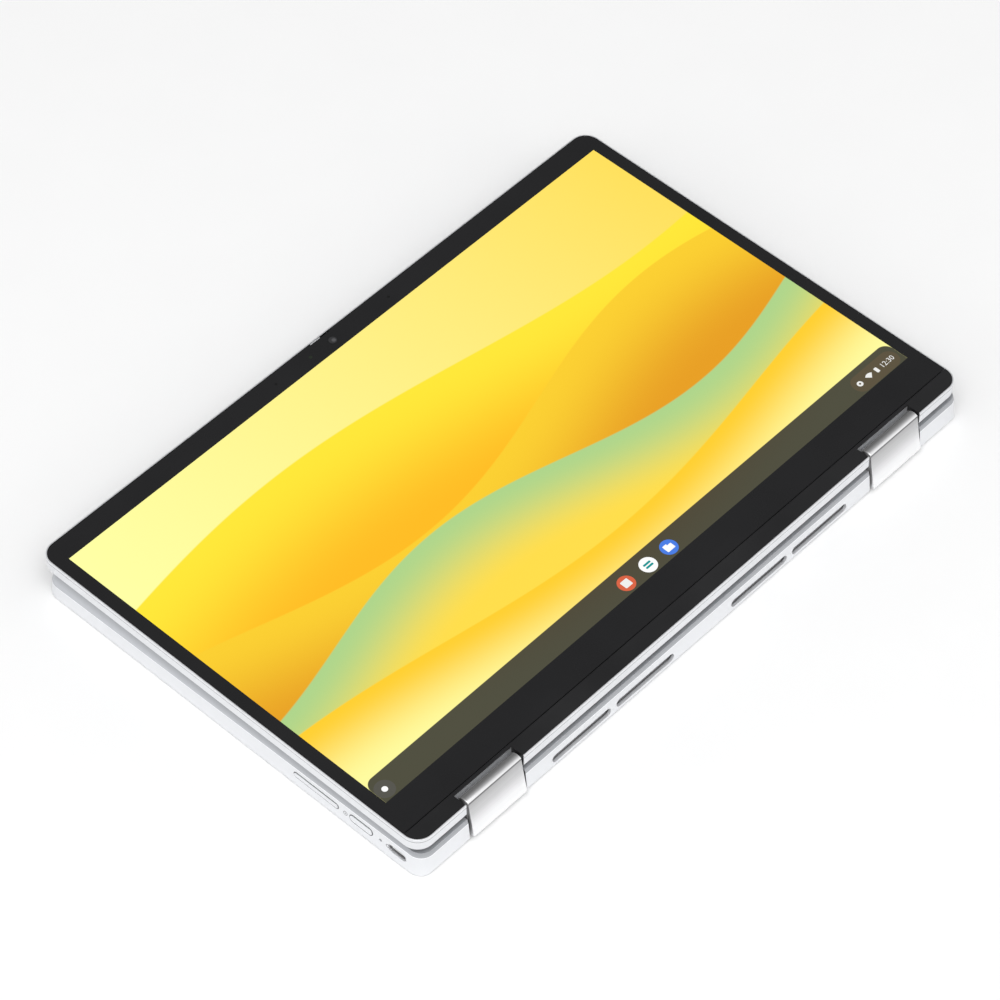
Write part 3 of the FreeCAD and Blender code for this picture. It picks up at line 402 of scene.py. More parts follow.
def brushedMetal(name, tone, roughness, stretch, depth=0.12):
    # metal with fine lines along one direction; stretch is how closely the lines sit on each axis
    material = emptyMaterial(name)
    tree = material.node_tree
    output = tree.nodes.new("ShaderNodeOutputMaterial")
    output.label = "metal surface"
    metalSkin = tree.nodes.new("ShaderNodeBsdfPrincipled")
    metalSkin.label = "brushed metal"
    place = tree.nodes.new("ShaderNodeTexCoord")
    place.label = "place on the part"
    lineFrame = tree.nodes.new("NodeFrame")
    lineFrame.label = "brushing"
    toneFrame = tree.nodes.new("NodeFrame")
    toneFrame.label = "tone and polish"

    drawn = tree.nodes.new("ShaderNodeMapping")
    drawn.label = "lines drawn out"
    lines = tree.nodes.new("ShaderNodeTexNoise")
    lines.label = "brush lines"
    relief = tree.nodes.new("ShaderNodeBump")
    relief.label = "line depth"
    shade = tree.nodes.new("ShaderNodeValToRGB")
    shade.label = "tone of the lines"
    polish = tree.nodes.new("ShaderNodeMapRange")
    polish.label = "polish of the lines"
    drawn.parent = lines.parent = relief.parent = lineFrame
    shade.parent = polish.parent = toneFrame

    drawn.inputs["Scale"].default_value = stretch
    lines.inputs["Scale"].default_value = 1.0
    lines.inputs["Detail"].default_value = 4
    relief.inputs["Strength"].default_value = depth
    relief.inputs["Distance"].default_value = 0.00004
    shade.color_ramp.elements[0].position = 0.3
    shade.color_ramp.elements[0].color = (*(0.86 * t for t in tone), 1)
    shade.color_ramp.elements[1].position = 0.7
    shade.color_ramp.elements[1].color = (*tone, 1)
    polish.inputs["To Min"].default_value = roughness - 0.05
    polish.inputs["To Max"].default_value = roughness + 0.08
    metalSkin.inputs["Metallic"].default_value = 1.0

    tree.links.new(place.outputs["Object"], drawn.inputs["Vector"])
    tree.links.new(drawn.outputs["Vector"], lines.inputs["Vector"])
    tree.links.new(lines.outputs["Fac"], relief.inputs["Height"])
    tree.links.new(lines.outputs["Fac"], shade.inputs["Fac"])
    tree.links.new(lines.outputs["Fac"], polish.inputs["Value"])
    tree.links.new(shade.outputs["Color"], metalSkin.inputs["Base Color"])
    tree.links.new(polish.outputs["Result"], metalSkin.inputs["Roughness"])
    tree.links.new(relief.outputs["Normal"], metalSkin.inputs["Normal"])
    tree.links.new(metalSkin.outputs["BSDF"], output.inputs["Surface"])
    spreadNodes(tree)
    return material


# the two hinge caps, each a section carried along the hinge line
joints = {joint["name"]: joint for joint in frame["joints"]}
cap = {
    "upperShaft": np.array(joints["lid_hinge"]["pos_m"][1:]),
    "lowerShaft": np.array(joints["base_hinge"]["pos_m"][1:]),
    "upperRadius": 0.0037,
    "lowerRadius": 0.0061,
    "flatTop": np.array([-0.10255, 0.0208]),
    "flatBottom": np.array([-0.10585, 0.0029]),
    "edgeRound": 0.0003,
    "arcPoints": 40,
    "facePoints": 12,
    "edgePoints": 5,
    "sharpAngle": math.radians(24),
    "tone": (0.90, 0.90, 0.91),
    "paintedBackShare": 0.86,        # painted shade: tone at the back of the barrel
    "rollBack": -0.097,
    # shares of the depth and of the metal's tone, a painted reflection with painted shade: face greying towards
    # the crease, painted dark crease, then over the barrel
    "paintedReflectionTones": (
        (0.10, 0.96), (0.24, 0.64), (0.350, 0.50), (0.358, 0.16), (0.368, 0.16), (0.376, 1.0),
        (0.50, 0.88), (0.62, 0.50), (0.74, 0.24), (0.84, 0.20), (0.93, 0.62),
    ),
}


def capMetalPaintedReflection(name, tone, footDepth, rollDepth):
    # a brushed face with a painted reflection that greys towards the crease, a painted dark line in the crease,
    # then a barrel with a painted reflection that is brightest at the crease;
    # the painted tone follows the depth, from the face's foot to the back of the barrel
    material = emptyMaterial(name)
    tree = material.node_tree
    output = tree.nodes.new("ShaderNodeOutputMaterial")
    output.label = "cap surface"
    metalSkin = tree.nodes.new("ShaderNodeBsdfPrincipled")
    metalSkin.label = "cap metal"
    place = tree.nodes.new("ShaderNodeTexCoord")
    place.label = "place on the cap"
    lineFrame = tree.nodes.new("NodeFrame")
    lineFrame.label = "brushing"
    toneFrame = tree.nodes.new("NodeFrame")
    toneFrame.label = "painted reflection over face and barrel"

    drawn = tree.nodes.new("ShaderNodeMapping")
    drawn.label = "lines drawn out"
    lines = tree.nodes.new("ShaderNodeTexNoise")
    lines.label = "brush lines"
    relief = tree.nodes.new("ShaderNodeBump")
    relief.label = "line depth"
    polish = tree.nodes.new("ShaderNodeMapRange")
    polish.label = "polish of the lines"
    axes = tree.nodes.new("ShaderNodeSeparateXYZ")
    axes.label = "depth on the cap"
    inward = tree.nodes.new("ShaderNodeMapRange")
    inward.label = "share of the depth"
    paintedReflectionRamp = tree.nodes.new("ShaderNodeValToRGB")
    paintedReflectionRamp.label = "painted reflection from foot to back"
    lineTone = tree.nodes.new("ShaderNodeMix")
    lineTone.label = "lines over tone"
    drawn.parent = lines.parent = relief.parent = polish.parent = lineFrame
    axes.parent = inward.parent = paintedReflectionRamp.parent = lineTone.parent = toneFrame

    drawn.inputs["Scale"].default_value = (14, 2400, 2400)
    lines.inputs["Scale"].default_value = 1.0
    lines.inputs["Detail"].default_value = 4
    relief.inputs["Strength"].default_value = 0.05
    relief.inputs["Distance"].default_value = 0.00004
    polish.inputs["To Min"].default_value = 0.17
    polish.inputs["To Max"].default_value = 0.27
    inward.inputs["From Min"].default_value = footDepth
    inward.inputs["From Max"].default_value = rollDepth
    ramp = paintedReflectionRamp.color_ramp
    ramp.elements[0].position, ramp.elements[0].color = 0.0, (*tone, 1)
    ramp.elements[1].position, ramp.elements[1].color = 1.0, (*(cap["paintedBackShare"] * t for t in tone), 1)
    for position, share in cap["paintedReflectionTones"]:
        stop = ramp.elements.new(position)
        stop.color = (*(share * t for t in tone), 1)
    lineTone.data_type = "RGBA"
    lineTone.blend_type = "SOFT_LIGHT"
    lineTone.inputs[0].default_value = 0.25
    metalSkin.inputs["Metallic"].default_value = 0.6

    tree.links.new(place.outputs["Object"], drawn.inputs["Vector"])
    tree.links.new(drawn.outputs["Vector"], lines.inputs["Vector"])
    tree.links.new(lines.outputs["Fac"], relief.inputs["Height"])
    tree.links.new(lines.outputs["Fac"], polish.inputs["Value"])
    tree.links.new(place.outputs["Object"], axes.inputs["Vector"])
    tree.links.new(axes.outputs["Y"], inward.inputs["Value"])
    tree.links.new(inward.outputs["Result"], paintedReflectionRamp.inputs["Fac"])
    tree.links.new(paintedReflectionRamp.outputs["Color"], lineTone.inputs[6])
    tree.links.new(lines.outputs["Fac"], lineTone.inputs[7])
    tree.links.new(lineTone.outputs[2], metalSkin.inputs["Base Color"])
    tree.links.new(polish.outputs["Result"], metalSkin.inputs["Roughness"])
    tree.links.new(relief.outputs["Normal"], metalSkin.inputs["Normal"])
    tree.links.new(metalSkin.outputs["BSDF"], output.inputs["Surface"])
    spreadNodes(tree)
    return material


def mouldedPlastic(name, tone, roughness, grainScale, depth=0.1, coat=0.0, drift=0.14):
    # moulded plastic, rubber or film: a spark-eroded grain over a slow mottle
    material = emptyMaterial(name)
    tree = material.node_tree
    output = tree.nodes.new("ShaderNodeOutputMaterial")
    output.label = "plastic surface"
    plastic = tree.nodes.new("ShaderNodeBsdfPrincipled")
    plastic.label = "moulded plastic"
    place = tree.nodes.new("ShaderNodeTexCoord")
    place.label = "place on the part"
    grainFrame = tree.nodes.new("NodeFrame")
    grainFrame.label = "mould grain"
    toneFrame = tree.nodes.new("NodeFrame")
    toneFrame.label = "tone and sheen"

    grain = tree.nodes.new("ShaderNodeTexNoise")
    grain.label = "spark-eroded grain"
    relief = tree.nodes.new("ShaderNodeBump")
    relief.label = "grain height"
    mottle = tree.nodes.new("ShaderNodeTexNoise")
    mottle.label = "slow mottle"
    shade = tree.nodes.new("ShaderNodeValToRGB")
    shade.label = "tone of the plastic"
    sheen = tree.nodes.new("ShaderNodeMapRange")
    sheen.label = "worn sheen"
    grain.parent = relief.parent = grainFrame
    mottle.parent = shade.parent = sheen.parent = toneFrame

    grain.inputs["Scale"].default_value = grainScale
    grain.inputs["Detail"].default_value = 2
    relief.inputs["Strength"].default_value = depth
    relief.inputs["Distance"].default_value = 0.00004
    mottle.inputs["Scale"].default_value = 30
    mottle.inputs["Detail"].default_value = 4
    shade.color_ramp.elements[0].position = 0.3
    shade.color_ramp.elements[0].color = (*((1 - drift) * t for t in tone), 1)
    shade.color_ramp.elements[1].position = 0.7
    shade.color_ramp.elements[1].color = (*tone, 1)
    sheen.inputs["From Min"].default_value = 0.3
    sheen.inputs["From Max"].default_value = 0.7
    sheen.inputs["To Min"].default_value = roughness - 0.05
    sheen.inputs["To Max"].default_value = roughness + 0.06
    plastic.inputs["Coat Weight"].default_value = coat
    plastic.inputs["Coat Roughness"].default_value = 0.06

    tree.links.new(place.outputs["Object"], grain.inputs["Vector"])
    tree.links.new(place.outputs["Object"], mottle.inputs["Vector"])
    tree.links.new(grain.outputs["Fac"], relief.inputs["Height"])
    tree.links.new(mottle.outputs["Fac"], shade.inputs["Fac"])
    tree.links.new(mottle.outputs["Fac"], sheen.inputs["Value"])
    tree.links.new(shade.outputs["Color"], plastic.inputs["Base Color"])
    tree.links.new(sheen.outputs["Result"], plastic.inputs["Roughness"])
    tree.links.new(relief.outputs["Normal"], plastic.inputs["Normal"])
    tree.links.new(plastic.outputs["BSDF"], output.inputs["Surface"])
    spreadNodes(tree)
    return material


def circuitBoard(name, mask, trace, cell):
    # solder mask with tracks and small tinned pads set out on a cell pattern
    material = emptyMaterial(name)
    tree = material.node_tree
    output = tree.nodes.new("ShaderNodeOutputMaterial")
    output.label = "board surface"
    board = tree.nodes.new("ShaderNodeBsdfPrincipled")
    board.label = "lacquered board"
    place = tree.nodes.new("ShaderNodeTexCoord")
    place.label = "place on the board"
    trackFrame = tree.nodes.new("NodeFrame")
    trackFrame.label = "tracks"
    padFrame = tree.nodes.new("NodeFrame")
    padFrame.label = "pads"

    tracks = tree.nodes.new("ShaderNodeTexBrick")
    tracks.label = "track runs"
    pads = tree.nodes.new("ShaderNodeTexVoronoi")
    pads.label = "pad places"
    padEdge = tree.nodes.new("ShaderNodeMapRange")
    padEdge.label = "pad size"
    tinned = tree.nodes.new("ShaderNodeMix")
    tinned.label = "tinned pads over mask"
    gloss = tree.nodes.new("ShaderNodeMapRange")
    gloss.label = "lacquer and tin gloss"
    tracks.parent = trackFrame
    pads.parent = padEdge.parent = tinned.parent = gloss.parent = padFrame

    tracks.inputs["Scale"].default_value = 1 / cell
    tracks.inputs["Color1"].default_value = (*mask, 1)
    tracks.inputs["Color2"].default_value = (*(1.25 * m for m in mask), 1)
    tracks.inputs["Mortar"].default_value = (*trace, 1)
    tracks.inputs["Mortar Size"].default_value = 0.03
    pads.inputs["Scale"].default_value = 1 / cell
    padEdge.inputs["From Min"].default_value = 0.16
    padEdge.inputs["From Max"].default_value = 0.18
    padEdge.inputs["To Min"].default_value = 1
    padEdge.inputs["To Max"].default_value = 0
    tinned.data_type = "RGBA"
    tinned.inputs[7].default_value = (0.75, 0.72, 0.62, 1)
    gloss.inputs["To Min"].default_value = 0.38
    gloss.inputs["To Max"].default_value = 0.22

    tree.links.new(place.outputs["Object"], tracks.inputs["Vector"])
    tree.links.new(place.outputs["Object"], pads.inputs["Vector"])
    tree.links.new(pads.outputs["Distance"], padEdge.inputs["Value"])
    tree.links.new(padEdge.outputs["Result"], tinned.inputs[0])
    tree.links.new(padEdge.outputs["Result"], gloss.inputs["Value"])
    tree.links.new(tracks.outputs["Color"], tinned.inputs[6])
    tree.links.new(tinned.outputs[2], board.inputs["Base Color"])
    tree.links.new(gloss.outputs["Result"], board.inputs["Roughness"])
    tree.links.new(board.outputs["BSDF"], output.inputs["Surface"])
    spreadNodes(tree)
    return material


def printedMarks(name, light):
    # flat printed or lit marks, each in the colour its own shape holds
    material = emptyMaterial(name)
    tree = material.node_tree
    output = tree.nodes.new("ShaderNodeOutputMaterial")
    output.label = "mark surface"
    ink = tree.nodes.new("ShaderNodeBsdfPrincipled")
    ink.label = "lit mark"
    paint = tree.nodes.new("ShaderNodeAttribute")
    paint.label = "colour of each mark"
    place = tree.nodes.new("ShaderNodeTexCoord")
    place.label = "place on the glass"
    smear = tree.nodes.new("ShaderNodeTexNoise")
    smear.label = "faint smears"
    polish = tree.nodes.new("ShaderNodeMapRange")
    polish.label = "polish"
    glassFrame = tree.nodes.new("NodeFrame")
    glassFrame.label = "glass polish"
    place.parent = smear.parent = polish.parent = glassFrame
    paint.attribute_name = "paint"
    smear.inputs["Scale"].default_value = 60
    polish.inputs["To Min"].default_value = 0.06
    polish.inputs["To Max"].default_value = 0.12
    ink.inputs["Base Color"].default_value = (0.012, 0.012, 0.012, 1)
    ink.inputs["Specular IOR Level"].default_value = 0.12
    ink.inputs["Emission Strength"].default_value = light
    tree.links.new(place.outputs["Object"], smear.inputs["Vector"])
    tree.links.new(smear.outputs["Fac"], polish.inputs["Value"])
    tree.links.new(polish.outputs["Result"], ink.inputs["Roughness"])
    tree.links.new(paint.outputs["Color"], ink.inputs["Emission Color"])
    tree.links.new(ink.outputs["BSDF"], output.inputs["Surface"])
    spreadNodes(tree)
    return material


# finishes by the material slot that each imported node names
finishes = {
    "silver_shell": anodisedShell("silverShell", (0.80, 0.81, 0.83), 0.42, 0.55),
    # the cover's dark grey tone is partly painted shade from the lid above it; pale paints it paler towards the
    # crease, painted light low down and painted shade under the lid
    "grey_shell": anodisedShell("greyShellPaintedShade", (0.38, 0.39, 0.41), 0.42, 0.6, pale=(0.0085, 0.0120, 1.42)),
    "silver_button": anodisedShell("silverButton", (0.78, 0.79, 0.81), 0.36, 0.6),
    "cover_glass": mouldedPlastic("borderGlass", (0.017, 0.017, 0.018), 0.10, 9000, 0.004),
    "black_trim": mouldedPlastic("blackTrim", (0.016, 0.016, 0.017), 0.34, 5200, 0.08),
    "grey_trim": mouldedPlastic("greyTrim", (0.42, 0.43, 0.45), 0.42, 5200, 0.1),
    "panel": mouldedPlastic("panelFilm", (0.05, 0.05, 0.055), 0.3, 2600, 0.05, 0.4),
    "circuit_board": circuitBoard("boardMask", (0.012, 0.10, 0.05), (0.03, 0.20, 0.10), 0.0035),
    "chip": mouldedPlastic("chipResin", (0.022, 0.022, 0.024), 0.45, 7000, 0.1),
    "shield_steel": brushedMetal("shieldSteel", (0.62, 0.62, 0.60), 0.32, (60, 2600, 600)),
    "port_steel": brushedMetal("portSteel", (0.72, 0.72, 0.73), 0.42, (60, 2600, 2600)),
    "plate_steel": brushedMetal("plateSteel", (0.40, 0.40, 0.41), 0.4, (80, 1800, 600)),
    "hinge_steel": brushedMetal("hingeSteel", (0.50, 0.50, 0.50), 0.3, (900, 900, 900)),
    "screw_steel": brushedMetal("screwSteel", (0.40, 0.40, 0.41), 0.3, (2600, 2600, 600)),
    "gear_brass": brushedMetal("gearBrass", (0.62, 0.47, 0.20), 0.34, (200, 2600, 2600)),
    "hinge_cap": capMetalPaintedReflection("capMetalPaintedReflection", cap["tone"], cap["flatBottom"][0], cap["rollBack"]),
    "lens_glass": mouldedPlastic("lensGlass", (0.02, 0.02, 0.035), 0.08, 3000, 0.01, 1.0),
    "copper": brushedMetal("heatCopper", (0.72, 0.34, 0.20), 0.3, (60, 1400, 1400)),
    "fin_aluminium": brushedMetal("finAluminium", (0.72, 0.73, 0.74), 0.34, (1200, 80, 1200)),
    "flat_cable": mouldedPlastic("cableFilm", (0.16, 0.08, 0.02), 0.36, 1600, 0.08, 0.3),
    "rubber_foot": mouldedPlastic("footRubber", (0.045, 0.045, 0.045), 0.78, 3200, 0.25),
    "key_cap": mouldedPlastic("keyCap", (0.055, 0.056, 0.060), 0.55, 6200, 0.12),
    "pad_glass": anodisedShell("padGlass", (0.60, 0.61, 0.62), 0.34, 0.3),
    "battery_wrap": mouldedPlastic("batteryWrap", (0.035, 0.035, 0.038), 0.4, 900, 0.15, 0.2),
    "light_pipe": mouldedPlastic("lightPipe", (0.20, 0.21, 0.22), 0.2, 3000, 0.02, 0.6),
}
for part in frame["record"]["subparts"]:
    coat = finishes[part["material_slot"]]
    packed = nodes[part["node"]]
    packed.data.materials.clear()
    packed.data.materials.append(coat)
# parts whose finish differs from the rest of their slot; the lid's shell carries a fine dark seam line, and the
# deck's shell a painted highlight line along its crease
lidLine, deckPaintedHighlight = (0.0198, 0.0, 0.4, 0.00015), (0.00845, 0.0188, 1.22, 0.0002)
ownFinish = {
    "lid_cover": anodisedShell("lidShell", (0.76, 0.77, 0.79), 0.38, 0.55, lidLine),
    "keyboard_deck": anodisedShell("deckShell", (0.78, 0.79, 0.81), 0.38, 0.55, deckPaintedHighlight),
    "vent_grille": mouldedPlastic("grillePlastic", (0.30, 0.30, 0.31), 0.5, 5200, 0.1),
    "privacy_shutter": finishes["silver_button"],
}
for partName, coat in ownFinish.items():
    nodes[partName].data.materials[0] = coat
print("stage: finishes on the packed parts")


def capSection():
    # straight outer face, then arcs about the two shafts joined by a tangent, as one loop of depth and height
    run = cap["flatBottom"] - cap["flatTop"]
    run /= np.linalg.norm(run)

    def meet(centre, radius, sign):
        foot = cap["flatTop"] + run * np.dot(centre - cap["flatTop"], run)
        return foot + run * sign * math.sqrt(radius ** 2 - np.sum((centre - foot) ** 2))

    upper, lower = cap["upperShaft"], cap["lowerShaft"]
    creaseTop = meet(upper, cap["upperRadius"], -1)
    creaseBottom = meet(lower, cap["lowerRadius"], 1)
    line = lower - upper
    lean = math.asin((cap["lowerRadius"] - cap["upperRadius"]) / np.linalg.norm(line))
    tangent = math.atan2(line[1], line[0]) + math.pi / 2 + lean

    def arc(centre, radius, fromAngle, toAngle):
        angle = np.linspace(fromAngle, toAngle, cap["arcPoints"])
        return centre + radius * np.stack([np.cos(angle), np.sin(angle)], -1)

    lowFrom = math.atan2(*(creaseBottom - lower)[::-1])
    highTo = math.atan2(*(creaseTop - upper)[::-1])
    face = creaseTop + np.linspace(0, 1, cap["facePoints"])[:, None] * (creaseBottom - creaseTop)
    around = (tangent - lowFrom) % (2 * math.pi)
    over = (highTo - tangent) % (2 * math.pi)
    lowArc = arc(lower, cap["lowerRadius"], lowFrom, lowFrom + around)
    highArc = arc(upper, cap["upperRadius"], tangent, tangent + over)
    return np.concatenate([face[:-1], lowArc, highArc[:-1]])


def hingeCap(name, node, material):
    # the section carried along x; near each end it shrinks towards its middle by a quarter circle
    section = capSection()
    low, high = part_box(node)
    middle = section.mean(0)
    outward = section - middle
    outward /= np.linalg.norm(outward, axis=1)[:, None]
    turn = np.linspace(0, math.pi / 2, cap["edgePoints"])
    edge = cap["edgeRound"]
    along = np.concatenate([
        low.x + edge * (1 - np.cos(turn)),
        high.x - edge * (1 - np.cos(turn[::-1])),
    ])
    shrink = np.concatenate([edge * (1 - np.sin(turn)), edge * (1 - np.sin(turn[::-1]))])
    rings = section[None] - outward[None] * shrink[:, None, None]
    places = np.broadcast_to(along[:, None, None], (*rings.shape[:2], 1))
    points = np.concatenate([places, rings], -1).reshape(-1, 3)
    count = len(section)
    faces = gridFaces(len(along), count, closed=True).tolist()
    last = len(points) - count
    ends = [list(range(count))[::-1], [last + i for i in range(count)]]
    mesh = bpy.data.meshes.new(name)
    mesh.from_pydata(points.tolist(), [], faces + ends)
    shape = bmesh.new()
    shape.from_mesh(mesh)
    bmesh.ops.recalc_face_normals(shape, faces=shape.faces)
    shape.to_mesh(mesh)
    shape.free()
    mesh.polygons.foreach_set("use_smooth", np.full(len(mesh.polygons), True))
    mesh.set_sharp_from_angle(angle=cap["sharpAngle"])
    mesh.materials.append(material)
    piece = placed(name, mesh)
    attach(piece, "hinge_links")
    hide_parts(node)
    return piece


hingeCap("hinge_cap_left", "hinge_housing_left", finishes["hinge_cap"])
hingeCap("hinge_cap_right", "hinge_housing_right", finishes["hinge_cap"])
print("stage: hinge caps")

# black lining of the shutter's slot: its floor and back wall as a bent strip carried along the slot
shutterSlot = {"before": 0.001, "after": 0.0062, "deep": 0.0011, "behind": 0.00017, "floorGap": 0.00005}
tabLow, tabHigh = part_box("privacy_shutter")
slotWall = tabHigh.y + shutterSlot["behind"]
slotFloor = tabLow.z - shutterSlot["floorGap"]
slotFront = slotWall - shutterSlot["deep"]
slotProfile = np.array([(slotFront, slotFloor), (slotWall, slotFloor), (slotWall, tabHigh.z)])
slotEnds = (tabLow.x - shutterSlot["before"], tabHigh.x + shutterSlot["after"])
slotPoints = np.concatenate([np.column_stack([np.full(3, x), slotProfile]) for x in slotEnds])
slotFaces = gridFaces(2, 3)[:, ::-1]
trim = finishes["black_trim"]
meshPiece("shutter_slot_lining", slotPoints, slotFaces, trim, "lid", smooth=False)

# painted shade on the end walls of the hinge notches, dark sheets where the narrow gaps by the caps lie in shade:
# a flat outline in depth and height at each wall
notchShade = {
    "gap": 0.0012,            # from each cap's end to the notch wall
    "lift": 0.00003,
    "lid": [(-0.1025, 0.0150), (-0.0962, 0.0150), (-0.0962, 0.0211), (-0.1025, 0.0211)],
    "base": [
        (-0.1044, 0.0028), (-0.0950, 0.0028), (-0.0950, 0.0121), (-0.1031, 0.0121), (-0.1036, 0.0106),
    ],
}


def notchPaintedShade(name, body, outline):
    # the outline repeated at the four walls, each facing into its notch
    low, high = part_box("hinge_housing_right")
    nearWall = low.x - notchShade["gap"] + notchShade["lift"]
    farWall = high.x + notchShade["gap"] - notchShade["lift"]
    flat = np.array(outline)
    count = len(flat)
    walls = [np.column_stack([np.full(count, x), flat]) for x in (nearWall, -farWall, farWall, -nearWall)]
    faces = np.arange(4 * count).reshape(4, count)
    faces[2:] = faces[2:, ::-1]
    return meshPiece(name, np.concatenate(walls), faces, trim, body, smooth=False)


notchPaintedShade("notch_painted_shade_lid", "lid", notchShade["lid"])
notchPaintedShade("notch_painted_shade_base", "base", notchShade["base"])
print("stage: slot lining and painted notch shade")

# the picture is a grid over the lit area, just on the glass
glassLow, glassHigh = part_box("display_glass")
pictureWidth = glassHigh.x - glassLow.x - 2 * picture["margin"]
pictureTop = glassHigh.z + picture["lift"]
columnShare = np.linspace(0, 1, picture["columns"])
rowShare = np.linspace(0, 1, picture["rows"])
pictureUv = np.stack(np.meshgrid(columnShare, rowShare), -1).reshape(-1, 2)
left = glassLow.x + picture["margin"]
right = glassHigh.x - picture["margin"]
picturePoints = np.stack([
    left + pictureUv[:, 0] * (right - left),
    picture["lowEdge"] + pictureUv[:, 1] * (picture["highEdge"] - picture["lowEdge"]),
    np.full(len(pictureUv), pictureTop),
], -1)
pictureFaces = gridFaces(picture["rows"], picture["columns"])
meshPiece("screen_picture", picturePoints, pictureFaces, pictureMaterial(), "lid", pictureUv)
print("stage: picture")


def roundOutline(cx, cy, halfWidth, halfHeight, radius, count=12):
    # corners of a rectangle rounded by quarter circles, as one loop of points
    turn = np.linspace(0, math.pi / 2, count)
    loops = []
    for quarter, (sx, sy) in enumerate(((1, 1), (-1, 1), (-1, -1), (1, -1))):
        angle = turn + quarter * math.pi / 2
        loops.append(np.stack([
            cx + sx * (halfWidth - radius) + radius * np.cos(angle),
            cy + sy * (halfHeight - radius) + radius * np.sin(angle),
        ], -1))
    return np.concatenate(loops)


def discOutline(cx, cy, radius):
    # a full circle, as a rounded square whose corners take all of it
    return roundOutline(cx, cy, radius, radius, radius)


def fanOutline(cx, cy, radius, lowTurn, highTurn, count=24):
    # a slice of a disc, from its point out to its arc
    angle = np.radians(np.linspace(lowTurn, highTurn, count))
    arc = np.stack([cx + radius * np.cos(angle), cy + radius * np.sin(angle)], -1)
    return np.concatenate([[[cx, cy]], arc])


# round launcher, three plain app icons and a status corner on the tool bar; layers count up from the picture
barMiddle = -0.0748
layerStep = 0.000005
white = (0.86, 0.86, 0.84)
bright = (1.0, 1.0, 1.0)
teal = (0.0, 0.30, 0.30)
pillTone = (0.10, 0.078, 0.042)
barMarks = [
    # outline, layer, colour
    (discOutline(-0.1499, barMiddle, 0.0043), 1, (0.085, 0.083, 0.068)),
    (discOutline(-0.1499, barMiddle, 0.0013), 2, bright),
    (discOutline(-0.0129, barMiddle, 0.0039), 1, (0.70, 0.12, 0.05)),
    (roundOutline(-0.0129, barMiddle, 0.0019, 0.0019, 0.0004), 2, white),
    (discOutline(0.0, barMiddle, 0.0039), 1, bright),
    (roundOutline(0.0, barMiddle + 0.0008, 0.0020, 0.0005, 0.0004), 2, teal),
    (roundOutline(0.0, barMiddle - 0.0008, 0.0020, 0.0005, 0.0004), 2, teal),
    (discOutline(0.0123, barMiddle, 0.0039), 1, (0.06, 0.20, 0.78)),
    (roundOutline(0.0123, barMiddle - 0.0003, 0.0021, 0.0014, 0.0003), 2, bright),
    (roundOutline(0.0114, barMiddle + 0.0013, 0.0011, 0.0006, 0.0002), 2, bright),
    (roundOutline(0.1396, barMiddle, 0.0133, 0.0046, 0.0045), 1, pillTone),
    (discOutline(0.1301, barMiddle + 0.0002, 0.0014), 2, white),
    (discOutline(0.1301, barMiddle + 0.0002, 0.0005), 3, pillTone),
    (fanOutline(0.1361, barMiddle - 0.0012, 0.0028, 45, 135), 2, white),
    (roundOutline(0.1406, barMiddle + 0.0001, 0.0008, 0.0014, 0.0004), 2, white),
]
# what shows through the black border at the free edge: camera window, its lamp and two microphone holes
borderMarks = {"lensRadius": 0.0015, "lampShift": -0.013, "microphoneShift": 0.0331}
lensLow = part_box("camera_lens")[0]
eyeX, eyeY = lensLow.x + borderMarks["lensRadius"], lensLow.y + borderMarks["lensRadius"]
barMarks += [
    # the camera window's rings give off their dark colours as emitted light, which is painted light; the paler
    # disc set off the lens's middle is a painted reflection
    (discOutline(eyeX, eyeY, 0.0024), 1, (0.006, 0.006, 0.007)),
    (discOutline(eyeX, eyeY, 0.0018), 2, (0.030, 0.030, 0.032)),
    (discOutline(eyeX + 0.0003, eyeY - 0.0003, 0.0009), 3, (0.085, 0.085, 0.09)),
    (discOutline(eyeX + borderMarks["lampShift"], eyeY, 0.0008), 1, (0.012, 0.018, 0.010)),
    (discOutline(eyeX - borderMarks["microphoneShift"], eyeY, 0.0006), 1, (0.0, 0.0, 0.0)),
    (discOutline(eyeX + borderMarks["microphoneShift"], eyeY, 0.0006), 1, (0.0, 0.0, 0.0)),
]
markPoints = np.concatenate([
    np.column_stack([outline, np.full(len(outline), pictureTop + layerStep * layer)])
    for outline, layer, colour in barMarks
])
markColours = np.concatenate([
    np.tile((*colour, 1.0), (len(outline), 1)) for outline, layer, colour in barMarks
])
starts = np.cumsum([0] + [len(outline) for outline, layer, colour in barMarks])
markFaces = [list(range(first, end)) for first, end in zip(starts[:-1], starts[1:])]
markMesh = bpy.data.meshes.new("bar_marks")
markMesh.from_pydata(markPoints.tolist(), [], markFaces)
paintLayer = markMesh.attributes.new("paint", "FLOAT_COLOR", "POINT")
paintLayer.data.foreach_set("color", markColours.astype(np.float32).ravel())
markMesh.materials.append(printedMarks("barMarkInk", 1.0))
markPiece = placed("bar_marks", markMesh)
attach(markPiece, "lid")
print("stage: tool bar and border marks")

# the drafted left wall leans in by the draft times the height
leftWall = {"draft": 0.0976, "foot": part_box("keyboard_deck")[0]}


def onLeftWall(spots, lift):
    # points at places along the wall and heights, set just outside the wall
    wallX = leftWall["foot"].x + leftWall["draft"] * (spots[:, 1] - leftWall["foot"].z) - lift
    return np.column_stack([wallX, spots])


